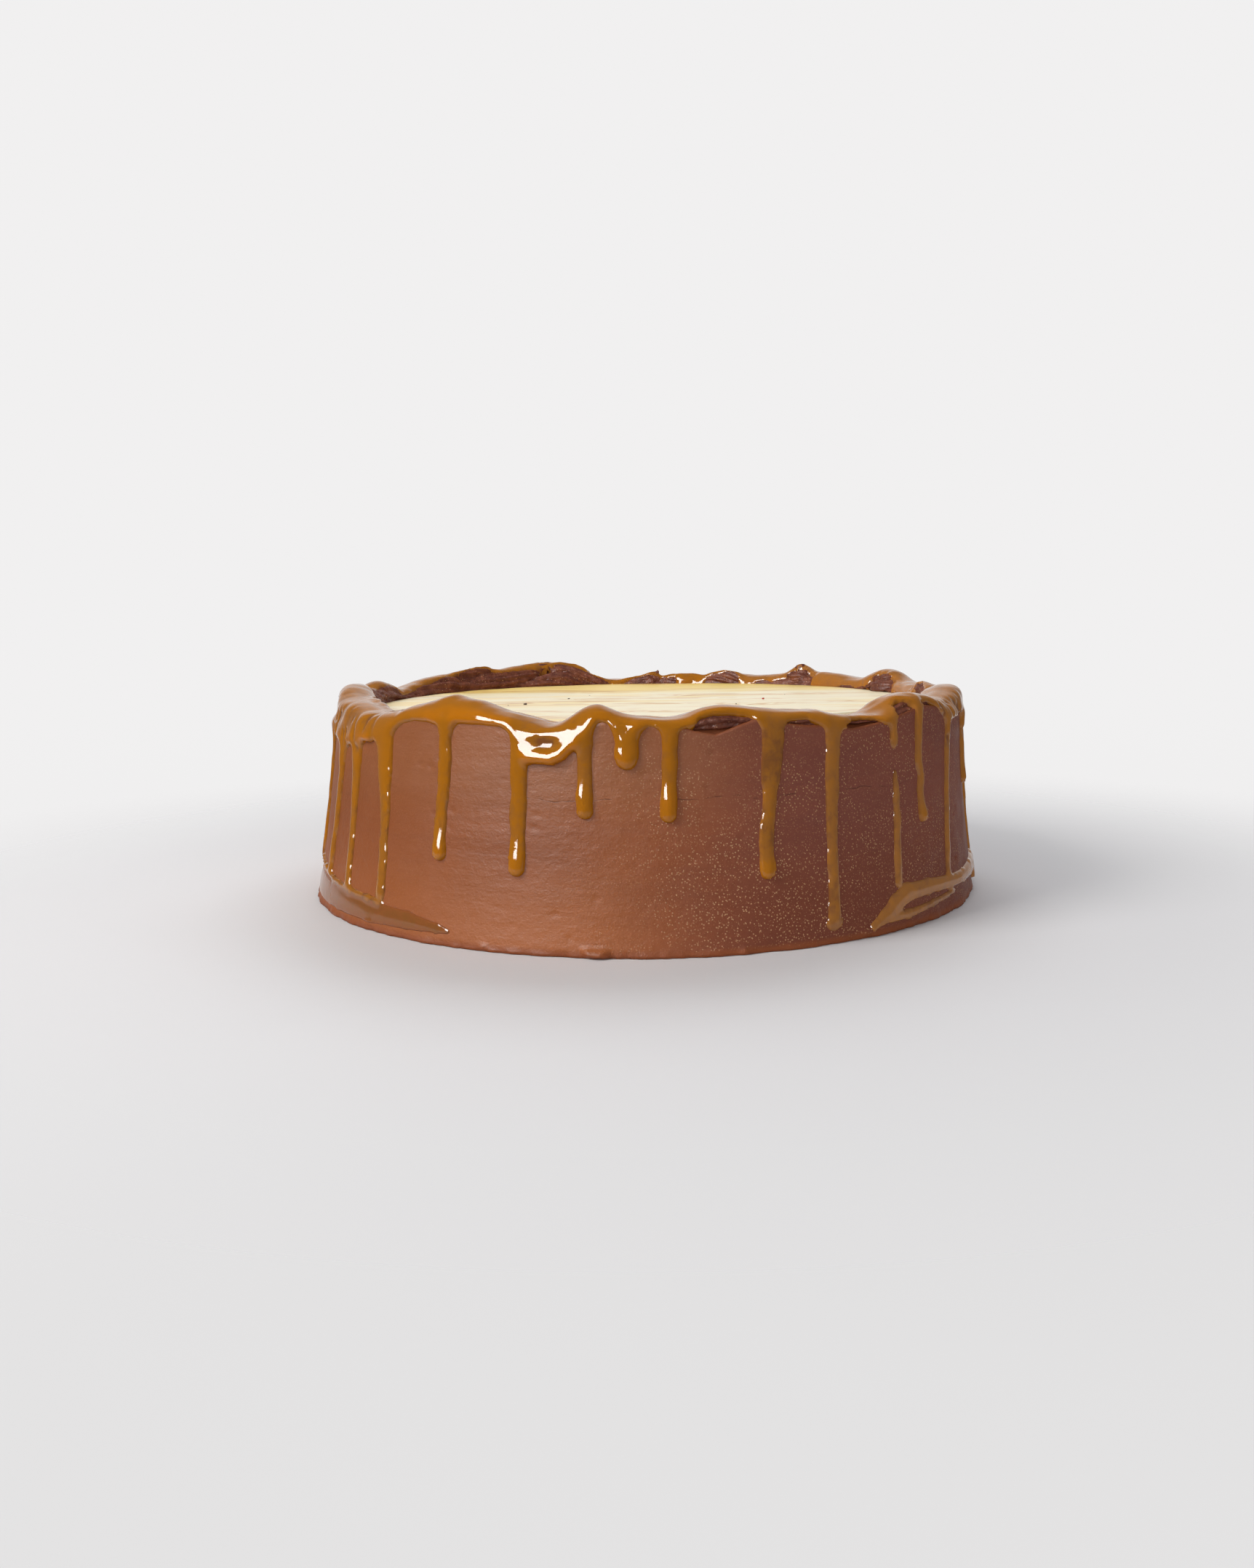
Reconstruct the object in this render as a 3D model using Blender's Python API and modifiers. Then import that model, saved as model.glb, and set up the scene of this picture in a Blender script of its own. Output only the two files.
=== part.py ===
"""A tall round salted caramel layer cake, whole and uncut.

Four pieces, each a closed solid of its own: the frosted cake, the cream disc
set in its top, the ring of piped frosting round that disc, and the caramel
poured over the ring, which runs down the side in drips.

Millimetres are used for every named size and turned into metres once, when a
mesh is made.  An angle is counted from the front of the cake (-Y) towards its
right (+X).  +Z is up and the cake stands on z = 0, centred on the Z axis.
"""
import math
import random

import bmesh
import bpy
from mathutils import Matrix, Vector
from mathutils.bvhtree import BVHTree

MM = 0.001
GAP = 0.3                     # clearance kept between two pieces that touch
SHARP_ANGLE = 35.0

# the frosted cake, turned round Z
CAKE_STEPS = 84
LEAN = 0.033                  # how far the whole cake leans to its right
BASE_RADIUS = 129.6           # where the side meets the surface it stands on
BASE_LIP_RADIUS = 131.2       # frosting squeezed out at the foot
BASE_LIP_HEIGHT = 1.6
SIDE_TOP_RADIUS = 123.2
SIDE_TOP_HEIGHT = 69.4
SIDE_BULGE = 1.0              # how far the taper bows in at half its height
SIDE_ROWS = 4
TOP_ROUND = 1.4               # rounding between the side and the flat top
TOP_ROUND_STEPS = 2

# the cream disc
DISC_STEPS = 72
DISC_RADIUS = 105.6
DISC_TOP_HEIGHT = 71.5
DISC_EDGE_ROUND = 0.9

# the piped ring, whose underside is pressed flat on the cake
RING_RADIUS = 115.0           # centre line of the piping
LOBES = 5                     # teeth of the piping nozzle
GROOVE = 0.32                 # groove depth as a share of a strand's radius
SEAT_STEP = 0.02
ROPE_RINGS = 9
ROPE_HALF_SPAN = 14.5         # degrees of the ring that half a rope takes
ROPE_HALF_WIDTH = 7.8
ROPE_SWAY = 1.0               # a rope starts this far out and ends as far in
ROPE_TWIST = 1.3              # radians that the grooves wind by along a rope
ROPE_HEAD = 0.12              # where on its swelling curve a rope starts
SWIRL_ROWS = 5
SWIRL_RADIUS = 8.9
SWIRL_TURN = 1.9              # radians that a swirl's grooves wind by
# each rope: angle, height of its crest above the cake's top, shift outwards
ROPES = (
    (-176, 6.0, -0.2), (-164, 9.0, 0.6), (-148, 11.0, -0.4), (-131, 8.6, 0.5),
    (-114, 5.6, -0.4), (-97, 7.0, 0.5), (-80, 7.2, -0.2), (-60, 3.0, 0.4),
    (-43, 5.0, -0.3), (-24, 3.6, 0.3), (-7, 6.0, 0.2), (11, 5.2, 0.4),
    (26, 2.8, -0.3), (42, 2.2, 0.4), (68, 5.6, 0.3), (84, 6.6, -0.3),
    (118, 7.0, 0.4), (148, 7.0, 0.2), (160, 9.0, 0.4), (173, 5.0, -0.3),
)
# each swirl: angle, height of its peak above the cake's top
SWIRLS = ((-158, 14.0), (-34, 9.4), (55, 5.2), (102, 10.4), (135, 11.0))

# the poured caramel: a sheet of columns and rows, laid along rays that turn
# about a circle inside the ring and then go straight down the side
PIVOT_RADIUS = 112.0
PIVOT_HEIGHT = 66.0
PIVOT_REACH = 12.0            # mean length of those rays
RAY_LENGTH = 60.0
COVER_ROWS = 4                # rows of cells over the ring
DRIP_ROWS = 5                 # rows of cells down a drip
LAST_DRIP_ROW = COVER_ROWS + DRIP_ROWS
LAST_ROW = LAST_DRIP_ROW + 2  # a cell that joins a drip to a run, and the run
ACROSS = (-1.0, -0.45, 0.45, 1.0)   # a drip's columns, as shares of its half width
ARCH_SPACING = 6.4            # widest step between the columns off a drip, degrees
RUN_SPACING = 5.6             # the same where a run lies along the foot
CORNER_SPACING = 1.0          # degrees from a drip to the first of them
COVER_THICKNESS = 1.6
DRIP_THICKNESS = 2.2
EDGE_THICKNESS = 0.8
COVER_MARGIN = 0.5            # keeps the sheet's flat facets off the ridges
SIDE_MARGIN = 0.2
CELL_OVERLAP = 2.0            # path length looked at below the cover's edge
CELL_SHARES = tuple(step / 8.0 for step in range(9))
COVER_EDGE_HEIGHT = 71.3
INNER_EDGE = -3.0             # path length of the cover's edge behind the crest
INNER_EDGE_WAVE = 3.2
POUR_DEPTH = 10.0             # the wide lobe at the front left
SAG_DEPTH = 6.5               # the thick stretch at the left
FILLET = 1.2                  # where a drip leaves the cover
TIP_TAPER = 0.62
DRIP_RADIUS = 125.0
JOIN_HEIGHT = 2.0             # a drip that ends this near a run joins it
# each drip: angle at its top, angle at its end, height of its end, width
# below the cover, width of its rounded end
DRIPS = (
    (-76.0, -77.0, 16.0, 7.0, 4.6), (-63.0, -65.0, 14.0, 8.0, 4.8),
    (-55.3, -54.2, 14.0, 8.2, 4.8), (-44.8, -43.7, 14.0, 11.0, 5.2),
    (-31.5, -32.0, 26.8, 4.6, 4.4), (-19.1, -18.9, 23.8, 5.6, 4.8),
    (-9.3, -9.1, 42.2, 4.8, 5.2), (-3.1, -3.1, 57.3, 7.0, 6.6),
    (3.1, 2.8, 41.0, 5.0, 5.0), (18.3, 16.8, 22.3, 7.0, 4.8),
    (28.7, 26.5, 2.2, 6.2, 5.6), (41.8, 40.2, 14.0, 5.4, 4.6),
    (50.0, 48.5, 33.6, 5.4, 5.0), (62.1, 56.4, 14.0, 5.2, 4.4),
    (79.0, 80.0, 14.0, 6.4, 5.0),
)
BACK_DRIPS = 12
BACK_FROM = 92.0
BACK_TO = 270.0
BACK_ENDS = (18.0, 26.0, 34.0, 43.0, 52.0)
# runs along the foot: first and last angle, heights of the lower and upper edge
POOLS = ((-68.0, -41.0, 10.0, 12.8), (32.0, 86.0, 4.4, 12.8))
POOL_RAMP = 8.0               # degrees over which a run thickens at its left end


def remove_all_objects():
    """Empty the scene."""
    for item in list(bpy.data.objects):
        bpy.data.objects.remove(item, do_unlink=True)


def new_collection(name):
    """Make a collection and link it to the scene."""
    group = bpy.data.collections.new(name)
    bpy.context.scene.collection.children.link(group)
    return group


def food_material(name, colour, roughness):
    """A plain food finish."""
    material = bpy.data.materials.new(name)
    material.use_nodes = True
    shader = material.node_tree.nodes["Principled BSDF"]
    shader.inputs["Base Color"].default_value = (*colour, 1.0)
    shader.inputs["Roughness"].default_value = roughness
    shader.inputs["Metallic"].default_value = 0.0
    return material


def polar(radius, degrees, height):
    """The point at an angle from the front, in millimetres."""
    turn = math.radians(degrees)
    return Vector((radius * math.sin(turn), -radius * math.cos(turn), height))


def smooth(value):
    """Ease a share of 0 to 1 at both its ends."""
    value = min(max(value, 0.0), 1.0)
    return value * value * (3.0 - 2.0 * value)


def mesh_object(name, group, points, faces):
    """A closed mesh from points in millimetres, facing out."""
    mesh = bpy.data.meshes.new(name)
    shape = bmesh.new()
    corners = [shape.verts.new(point * MM) for point in points]
    for face in faces:
        shape.faces.new([corners[index] for index in face])
    bmesh.ops.recalc_face_normals(shape, faces=shape.faces)
    bmesh.ops.triangulate(shape, faces=shape.faces)
    shape.to_mesh(mesh)
    shape.free()
    item = bpy.data.objects.new(name, mesh)
    group.objects.link(item)
    return item


def turned(name, group, profile, steps):
    """Turn a profile of (radius, height) round Z with a Screw modifier."""
    mesh = bpy.data.meshes.new(name)
    points = [(radius * MM, 0.0, height * MM) for radius, height in profile]
    edges = [(index, index + 1) for index in range(len(points) - 1)]
    mesh.from_pydata(points, edges, [])
    item = bpy.data.objects.new(name, mesh)
    group.objects.link(item)
    screw = item.modifiers.new("turn", "SCREW")
    screw.axis = "Z"
    screw.steps = steps
    screw.render_steps = steps
    screw.use_merge_vertices = True
    screw.merge_threshold = 0.00001
    return item


def side_radius(height):
    """The radius of the frosted side at a height."""
    share = height / SIDE_TOP_HEIGHT
    straight = BASE_LIP_RADIUS + (SIDE_TOP_RADIUS - BASE_LIP_RADIUS) * share
    return straight - SIDE_BULGE * 4.0 * share * (1.0 - share)


def cake_profile():
    """Top centre, over the rounded edge, down the side, to the base centre."""
    points = [(0.0, SIDE_TOP_HEIGHT)]
    for step in range(TOP_ROUND_STEPS + 1):
        angle = 0.5 * math.pi * (1.0 - step / TOP_ROUND_STEPS)
        points.append((SIDE_TOP_RADIUS + TOP_ROUND * (math.cos(angle) - 1.0),
                       SIDE_TOP_HEIGHT + TOP_ROUND * (math.sin(angle) - 1.0)))
    for row in range(1, SIDE_ROWS + 1):
        share = 1.0 - row / SIDE_ROWS
        height = BASE_LIP_HEIGHT + (SIDE_TOP_HEIGHT - BASE_LIP_HEIGHT) * share
        points.append((side_radius(height), height))
    points.append((BASE_RADIUS, 0.0))
    points.append((0.0, 0.0))
    return points


def disc_profile():
    """A flat disc with a rounded rim, lying just above the cake's top."""
    low = SIDE_TOP_HEIGHT + GAP
    return ((0.0, DISC_TOP_HEIGHT),
            (DISC_RADIUS - DISC_EDGE_ROUND, DISC_TOP_HEIGHT),
            (DISC_RADIUS, DISC_TOP_HEIGHT - DISC_EDGE_ROUND),
            (DISC_RADIUS, low),
            (0.0, low))


def seat(number):
    """The height a strand lies at: no two undersides share one plane."""
    return SIDE_TOP_HEIGHT + GAP + SEAT_STEP * number


def rope_corner(side, spin, wide, high, floor):
    """One corner of a rope's section about its centre, flat along the floor."""
    share = 1.0 - GROOVE * (side % 2) * smooth(0.5 + 1.5 * math.sin(spin))
    if high * share * math.sin(spin) < floor:
        share = 1.0
    return wide * share * math.cos(spin), max(high * share * math.sin(spin), floor)


def tube_faces(rings, sides):
    """Quads between rings of corners."""
    faces = []
    for ring in range(rings - 1):
        for side in range(sides):
            after = (side + 1) % sides
            faces.append((ring * sides + side, ring * sides + after,
                          (ring + 1) * sides + after, (ring + 1) * sides + side))
    return faces


def rope(group, number, angle, crest, shift):
    """One ridged rope of piping, laid along the ring and tapered to a tail."""
    sides = 2 * LOBES
    floor = seat(number)
    half_height = 0.5 * crest + 1.0
    points = []
    for ring in range(ROPE_RINGS):
        share = ring / (ROPE_RINGS - 1)
        along = angle + ROPE_HALF_SPAN * (2.0 * share - 1.0)
        swell = math.sin(math.pi * (ROPE_HEAD + (0.97 - ROPE_HEAD) * share))
        fat = 0.3 + 0.7 * swell
        radius = RING_RADIUS + shift + ROPE_SWAY * math.cos(math.pi * share)
        height = SIDE_TOP_HEIGHT + (crest - half_height) * fat
        centre = polar(radius, along, height)
        outward = polar(1.0, along, 0.0)
        for side in range(sides):
            spin = 2.0 * math.pi * side / sides + ROPE_TWIST * share
            out, rise = rope_corner(side, spin, ROPE_HALF_WIDTH * fat,
                                    half_height * fat, floor - height)
            points.append(centre + outward * out + Vector((0.0, 0.0, rise)))
    faces = tube_faces(ROPE_RINGS, sides)
    faces.append(tuple(range(sides)))
    faces.append(tuple(range(len(points) - sides, len(points))))
    return mesh_object("rope_%d" % number, group, points, faces)


def swirl(group, number, angle, peak):
    """One swirl of piping: a dome whose grooves wind up to its tip."""
    sides = 2 * LOBES
    foot = polar(RING_RADIUS, angle, seat(number))
    points = []
    for row in range(SWIRL_ROWS):
        share = row / SWIRL_ROWS
        wide = SWIRL_RADIUS * math.cos(0.5 * math.pi * share) ** 0.8
        high = peak * math.sin(0.5 * math.pi * share)
        for side in range(sides):
            groove = 1.0 - 0.8 * GROOVE * (side % 2)
            turn = 2.0 * math.pi * side / sides + SWIRL_TURN * share
            points.append(foot + Vector((wide * groove * math.cos(turn),
                                         wide * groove * math.sin(turn), high)))
    faces = tube_faces(SWIRL_ROWS, sides)
    faces.append(tuple(range(sides)))
    tip = len(points)
    points.append(foot + Vector((0.0, 0.0, peak)))
    for side in range(sides):
        faces.append((tip - sides + side, tip - sides + (side + 1) % sides, tip))
    return mesh_object("swirl_%d" % number, group, points, faces)


def evaluated_mesh(item):
    """A copy of an object's mesh with its modifiers applied."""
    graph = bpy.context.evaluated_depsgraph_get()
    return bpy.data.meshes.new_from_object(item.evaluated_get(graph))


def drop_scraps(mesh):
    """Keep only the largest connected body of a mesh."""
    shape = bmesh.new()
    shape.from_mesh(mesh)
    left = set(shape.verts)
    bodies = []
    while left:
        found = [left.pop()]
        for corner in found:
            for edge in corner.link_edges:
                other = edge.other_vert(corner)
                if other in left:
                    left.remove(other)
                    found.append(other)
        bodies.append(found)
    bodies.sort(key=len)
    for body in bodies[:-1]:
        bmesh.ops.delete(shape, geom=body, context="VERTS")
    shape.to_mesh(mesh)
    shape.free()


def piped_ring(group):
    """All ropes and swirls as one solid."""
    strands = new_collection("strands")
    for number, (angle, crest, shift) in enumerate(ROPES):
        rope(strands, number, angle, crest, shift)
    for number, (angle, peak) in enumerate(SWIRLS, start=len(ROPES)):
        swirl(strands, number, angle, peak)
    first, *others = list(strands.objects)
    strands.objects.unlink(first)
    group.objects.link(first)
    first.name = "piped_border"
    union = first.modifiers.new("join", "BOOLEAN")
    union.operation = "UNION"
    union.operand_type = "COLLECTION"
    union.collection = strands
    joined = evaluated_mesh(first)
    first.modifiers.clear()
    first.data = joined
    drop_scraps(joined)
    for item in others:
        bpy.data.objects.remove(item, do_unlink=True)
    bpy.data.collections.remove(strands)
    return first


class Ground:
    """How far out the cake and its piping reach along a ray of the sheet."""

    def __init__(self, items):
        self.trees = []
        for item in items:
            mesh = evaluated_mesh(item)
            shape = bmesh.new()
            shape.from_mesh(mesh)
            self.trees.append(BVHTree.FromBMesh(shape))
            shape.free()
            bpy.data.meshes.remove(mesh)

    def reach(self, angle, path):
        """The furthest surface along one ray, from its pivot."""
        pivot, ray = sheet_ray(angle, path)
        start = (pivot + RAY_LENGTH * ray) * MM
        best = 0.0
        for tree in self.trees:
            distance = tree.ray_cast(start, -ray, RAY_LENGTH * MM)[3]
            if distance is not None:
                best = max(best, RAY_LENGTH - distance / MM)
        return best


def sheet_ray(angle, path):
    """Pivot and direction of the sheet's ray, at a length down its middle."""
    tilt = min(path / PIVOT_REACH, 0.5 * math.pi)
    drop = max(path - 0.5 * math.pi * PIVOT_REACH, 0.0)
    pivot = polar(PIVOT_RADIUS, angle, PIVOT_HEIGHT - drop)
    return pivot, polar(math.sin(tilt), angle, math.cos(tilt))


def path_at(height):
    """Length down the sheet's middle to a height on the cake's side."""
    if height <= PIVOT_HEIGHT:
        return 0.5 * math.pi * PIVOT_REACH + PIVOT_HEIGHT - height
    return PIVOT_REACH * math.atan2(SIDE_TOP_RADIUS - PIVOT_RADIUS,
                                    height - PIVOT_HEIGHT)


def lower_edge(angle):
    """Height of the cover's lower edge, where no drip leaves it."""
    wave = math.sin(math.radians(7.0 * angle))
    ripple = 0.7 * math.sin(math.radians(17.0 * angle + 40.0))
    pour = POUR_DEPTH * smooth((angle + 21.5) / 2.5) * smooth((-7.5 - angle) / 4.0)
    sag = SAG_DEPTH * smooth((angle + 82.0) / 8.0) * smooth((-44.0 - angle) / 5.0)
    return COVER_EDGE_HEIGHT + wave + ripple - pour - sag


def inner_edge(angle):
    """Where the cover ends behind the ring's crest, as a path length."""
    wave = math.sin(math.radians(9.0 * angle + 30.0))
    ripple = 0.7 * math.sin(math.radians(23.0 * angle))
    return INNER_EDGE + INNER_EDGE_WAVE * (wave + ripple)


def back_drips():
    """Drips round the hidden side, of the same kinds as the front ones."""
    draw = random.Random(7)
    pitch = (BACK_TO - BACK_FROM) / BACK_DRIPS
    found = []
    for number in range(BACK_DRIPS):
        angle = BACK_FROM + pitch * (number + 0.5 + draw.uniform(-0.2, 0.2))
        end = draw.choice(BACK_ENDS) + draw.uniform(-4.0, 4.0)
        drift = draw.uniform(-0.8, 0.8)
        width = draw.uniform(4.8, 7.2)
        found.append((angle, angle + drift, end, width, draw.uniform(4.4, 5.4)))
    return found


class DripColumn:
    """A column of the sheet that runs on down a drip."""

    on_drip = True

    def __init__(self, drip, across):
        self.top, self.end, self.low, self.width, self.tip = drip
        self.across = across
        self.joins = self.low <= run_edges(self.end)[1] + JOIN_HEIGHT

    def share(self, row):
        """How far down the drip a row lies, from 0 at the cover's edge."""
        return min(max(row - COVER_ROWS, 0) / (DRIP_ROWS - 1), 1.0)

    def angle(self, row):
        """The column's angle at a row."""
        share = self.share(row)
        wide = self.tip + (self.width - self.tip) * (1.0 - smooth(1.5 * share))
        if row <= COVER_ROWS:
            wide += 2.0 * FILLET
        if row == LAST_DRIP_ROW and not self.joins:
            wide *= TIP_TAPER
        slant = (self.end - self.top) * share
        return self.top + slant + math.degrees(0.5 * wide * self.across / DRIP_RADIUS)

    def height(self, row):
        """The column's height at a row on the side."""
        if row > LAST_DRIP_ROW:
            return run_edges(self.angle(row))[LAST_ROW - row]
        edge = lower_edge(self.top) - FILLET
        foot = self.low + 0.5 * self.tip
        if row < LAST_DRIP_ROW:
            return edge + (foot - edge) * self.share(row)
        if self.joins:
            return self.low
        return self.low + 0.25 * self.tip * self.across * self.across

    def thickness(self, row):
        """The caramel's depth at a row."""
        if 0 < row < COVER_ROWS:
            return COVER_THICKNESS
        if row == 0 or row >= LAST_DRIP_ROW or abs(self.across) == 1.0:
            return EDGE_THICKNESS
        return DRIP_THICKNESS


class ArchColumn:
    """A column between two drips, which ends at the cover's lower edge."""

    on_drip = False

    def __init__(self, left, right, share):
        self.left = left
        self.right = right
        self.part = share

    def angle(self, row):
        """The column's angle at a row, between those of the drips."""
        start = self.left.angle(row)
        span = (self.right.angle(row) - start) % 360.0
        return start + span * self.part

    def height(self, row):
        """The cover's edge at its last row, and between the runs below it."""
        if row > COVER_ROWS:
            start = self.left.height(row)
            return start + (self.right.height(row) - start) * self.part
        return lower_edge(self.angle(row)) - FILLET * (2.0 * self.part - 1.0) ** 4

    def thickness(self, row):
        """The caramel's depth at a row."""
        return COVER_THICKNESS if 0 < row < COVER_ROWS else EDGE_THICKNESS


def run_edges(angle):
    """Heights of a run's lower and upper edge, level with the table off it."""
    for first, last, low, high in POOLS:
        if first < angle < last:
            return low, low + (high - low) * smooth((angle - first) / POOL_RAMP)
    return -JOIN_HEIGHT, -JOIN_HEIGHT


def in_run(angle):
    """Whether a run lies along the foot at an angle."""
    return run_edges(angle)[0] > 0.0


def sheet_columns():
    """The sheet's columns in order round the cake."""
    drips = sorted(list(DRIPS) + back_drips(), key=lambda drip: drip[0])
    columns = []
    for number, drip in enumerate(drips):
        for across in ACROSS:
            columns.append(DripColumn(drip, across))
        left = columns[-1]
        right = DripColumn(drips[(number + 1) % len(drips)], ACROSS[0])
        span = (right.angle(0) - left.angle(0)) % 360.0
        inner_span = span - 2.0 * CORNER_SPACING
        foot_span = (right.angle(LAST_ROW) - left.angle(LAST_ROW)) % 360.0
        spacing = RUN_SPACING if in_run(left.end) else ARCH_SPACING
        count = max(1, math.ceil(max(inner_span, foot_span) / spacing))
        for place in range(count + 1):
            part = (CORNER_SPACING + inner_span * place / count) / span
            columns.append(ArchColumn(left, right, part))
    return columns


class Sheet:
    """The poured caramel: one skin over the ring, with its drips and runs."""

    def __init__(self, ground):
        self.columns = sheet_columns()
        self.count = len(self.columns)
        self.spots = {}
        for number in range(self.count):
            for row in range(LAST_ROW + 1):
                self.spots[number, row] = self.spot(self.columns[number], row)
        self.reaches = {}
        for spot in self.spots:
            self.reaches[spot] = self.clear_reach(ground, *spot)

    def spot(self, column, row):
        """Angle and path of a corner."""
        angle = column.angle(row)
        path = path_at(column.height(max(row, COVER_ROWS)))
        if row < COVER_ROWS:
            inner = inner_edge(angle)
            path = inner + (path - inner) * row / COVER_ROWS
        return angle, path

    def clear_reach(self, ground, number, row):
        """A reach that lies clear of the ground in all the cells about a corner."""
        angle, path = self.spots[number, row]
        if row > COVER_ROWS:
            return ground.reach(angle, path) + GAP + SIDE_MARGIN
        before = self.spots[(number - 1) % self.count, row][0]
        after = self.spots[(number + 1) % self.count, row][0]
        above = self.spots[number, max(row - 1, 0)][1]
        below = self.spots[number, min(row + 1, COVER_ROWS)][1]
        if row == COVER_ROWS:
            below = path + CELL_OVERLAP
        reach = 0.0
        for across in CELL_SHARES:
            for down in CELL_SHARES:
                reach = max(reach, ground.reach(
                    before + ((after - before) % 360.0) * across,
                    above + (below - above) * down))
        return reach + GAP + COVER_MARGIN

    def ring(self, number, row):
        """The four corners of a cell."""
        after = (number + 1) % self.count
        return (number, row), (after, row), (after, row + 1), (number, row + 1)

    def filled(self, number, row):
        """Whether the cell right of a column and below a row is caramel."""
        if row < 0 or row >= LAST_ROW:
            return False
        if row < COVER_ROWS:
            return True
        left = self.columns[number % self.count]
        right = self.columns[(number + 1) % self.count]
        if row == LAST_ROW - 1:
            return in_run(left.angle(row)) and in_run(right.angle(row))
        if not (left.on_drip and right.on_drip and left.top == right.top):
            return False
        return row < LAST_DRIP_ROW or left.joins

    def corner(self, layer, spot):
        """The lower (0) or upper (1) point of the sheet at a corner."""
        number, row = spot
        pivot, ray = sheet_ray(*self.spots[spot])
        depth = self.columns[number].thickness(row)
        return pivot + ray * (self.reaches[spot] + layer * depth)

    def solid(self, group):
        """The sheet as a closed mesh."""
        places = {}
        points = []
        faces = []

        def at(layer, spot):
            if (layer, spot) not in places:
                places[layer, spot] = len(points)
                points.append(self.corner(layer, spot))
            return places[layer, spot]

        for number in range(self.count):
            for row in range(LAST_ROW):
                if not self.filled(number, row):
                    continue
                ring = self.ring(number, row)
                faces.append(tuple(at(1, spot) for spot in ring))
                faces.append(tuple(at(0, spot) for spot in reversed(ring)))
                beside = ((number, row - 1), (number + 1, row),
                          (number, row + 1), (number - 1, row))
                for side, cell in enumerate(beside):
                    if not self.filled(*cell):
                        start = ring[side]
                        finish = ring[(side + 1) % 4]
                        faces.append((at(0, start), at(0, finish),
                                      at(1, finish), at(1, start)))
        return mesh_object("caramel_drip", group, points, faces)


def finished(item, name, colour, roughness):
    """Apply an object's modifiers, lean it, and give it its finish."""
    mesh = evaluated_mesh(item)
    item.modifiers.clear()
    item.data = mesh
    lean = Matrix.Identity(4)
    lean[0][2] = LEAN
    mesh.transform(lean)
    mesh.materials.clear()
    mesh.materials.append(food_material(name, colour, roughness))
    mesh.shade_smooth()
    mesh.set_sharp_from_angle(angle=math.radians(SHARP_ANGLE))


def build():
    """Make the cake."""
    remove_all_objects()
    group = new_collection("salted_caramel_cake")
    cake = turned("cake", group, cake_profile(), CAKE_STEPS)
    disc = turned("cream_top", group, disc_profile(), DISC_STEPS)
    border = piped_ring(group)
    sheet = Sheet(Ground((cake, border))).solid(group)
    finished(cake, "chocolate_frosting", (0.21, 0.085, 0.05), 0.5)
    finished(disc, "vanilla_cream", (0.86, 0.78, 0.52), 0.35)
    finished(border, "piped_chocolate", (0.09, 0.032, 0.022), 0.55)
    finished(sheet, "caramel_sauce", (0.42, 0.17, 0.02), 0.12)


build()
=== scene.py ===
"""The looks of a salted caramel layer cake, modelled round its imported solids.

Four pieces replace the four nodes: the scraped chocolate frosting, the marbled
cream disc, the piped chocolate ring and the caramel poured over it.  Named
sizes are in millimetres and angles in degrees, counted from the front of the
cake (-Y) towards its right (+X).  Everything is modelled on an upright cake
and leaned at the end, as the solids are.
"""
import contextlib
import itertools
import math
import random

import bmesh
import bpy
import numpy as np
from mathutils import Matrix, Vector
from mathutils.bvhtree import BVHTree


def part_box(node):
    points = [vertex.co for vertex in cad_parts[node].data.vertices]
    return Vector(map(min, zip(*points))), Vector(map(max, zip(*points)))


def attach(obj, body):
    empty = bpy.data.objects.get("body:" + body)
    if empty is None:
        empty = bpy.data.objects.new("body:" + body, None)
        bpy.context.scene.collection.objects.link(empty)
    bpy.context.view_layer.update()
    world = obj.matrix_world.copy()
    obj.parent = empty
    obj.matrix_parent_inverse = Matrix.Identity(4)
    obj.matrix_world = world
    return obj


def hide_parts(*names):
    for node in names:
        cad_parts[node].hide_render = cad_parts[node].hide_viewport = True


MM = 0.001
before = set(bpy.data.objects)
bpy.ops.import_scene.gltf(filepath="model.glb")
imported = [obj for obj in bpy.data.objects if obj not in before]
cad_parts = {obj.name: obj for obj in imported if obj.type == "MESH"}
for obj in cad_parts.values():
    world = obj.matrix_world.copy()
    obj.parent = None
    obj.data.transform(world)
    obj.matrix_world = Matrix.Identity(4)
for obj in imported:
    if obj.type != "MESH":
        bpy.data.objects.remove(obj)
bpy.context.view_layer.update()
CAKE_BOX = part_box("cake")
DISC_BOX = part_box("cream_top")

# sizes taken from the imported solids
SIDE_TOP = CAKE_BOX[1].z / MM
FOOT_RADIUS = 0.5 * (CAKE_BOX[1].y - CAKE_BOX[0].y) / MM
DISC_TOP = DISC_BOX[1].z / MM
DISC_RADIUS = 0.5 * (DISC_BOX[1].y - DISC_BOX[0].y) / MM
LEAN = (DISC_BOX[0].x + DISC_BOX[1].x) / (DISC_BOX[0].z + DISC_BOX[1].z)

# the frosted side
SIDE_TOP_RADIUS = FOOT_RADIUS - 8.0
SIDE_MEAN_RADIUS = 125.0
SIDE_BULGE = 1.0  # how far the taper bows in at half its height
SIDE_COLUMNS = 960
SIDE_ROWS = 84
HIDDEN_RADII = (60.0, 100.0, 114.0)  # rings of the top that the cream and the piping hide
EDGE_STEPS = ((2.4, 1.6), (1.5, 0.35), (1.0, 0.0), (0.5, 0.05))  # in from the edge, down from it
LIP_HEIGHT = 2.2  # frosting squeezed out at the foot
LIP_DEPTH = 1.4
LIP_FADE = 1.1
LIP_INSET = 0.5  # how far in the foot is where the lip is torn away
EDGE_BAND = 0.9  # how far in from a thin edge the frosting looks redder
RIM_REACH = 7.0  # the top edge's waves fade out this far down
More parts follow.
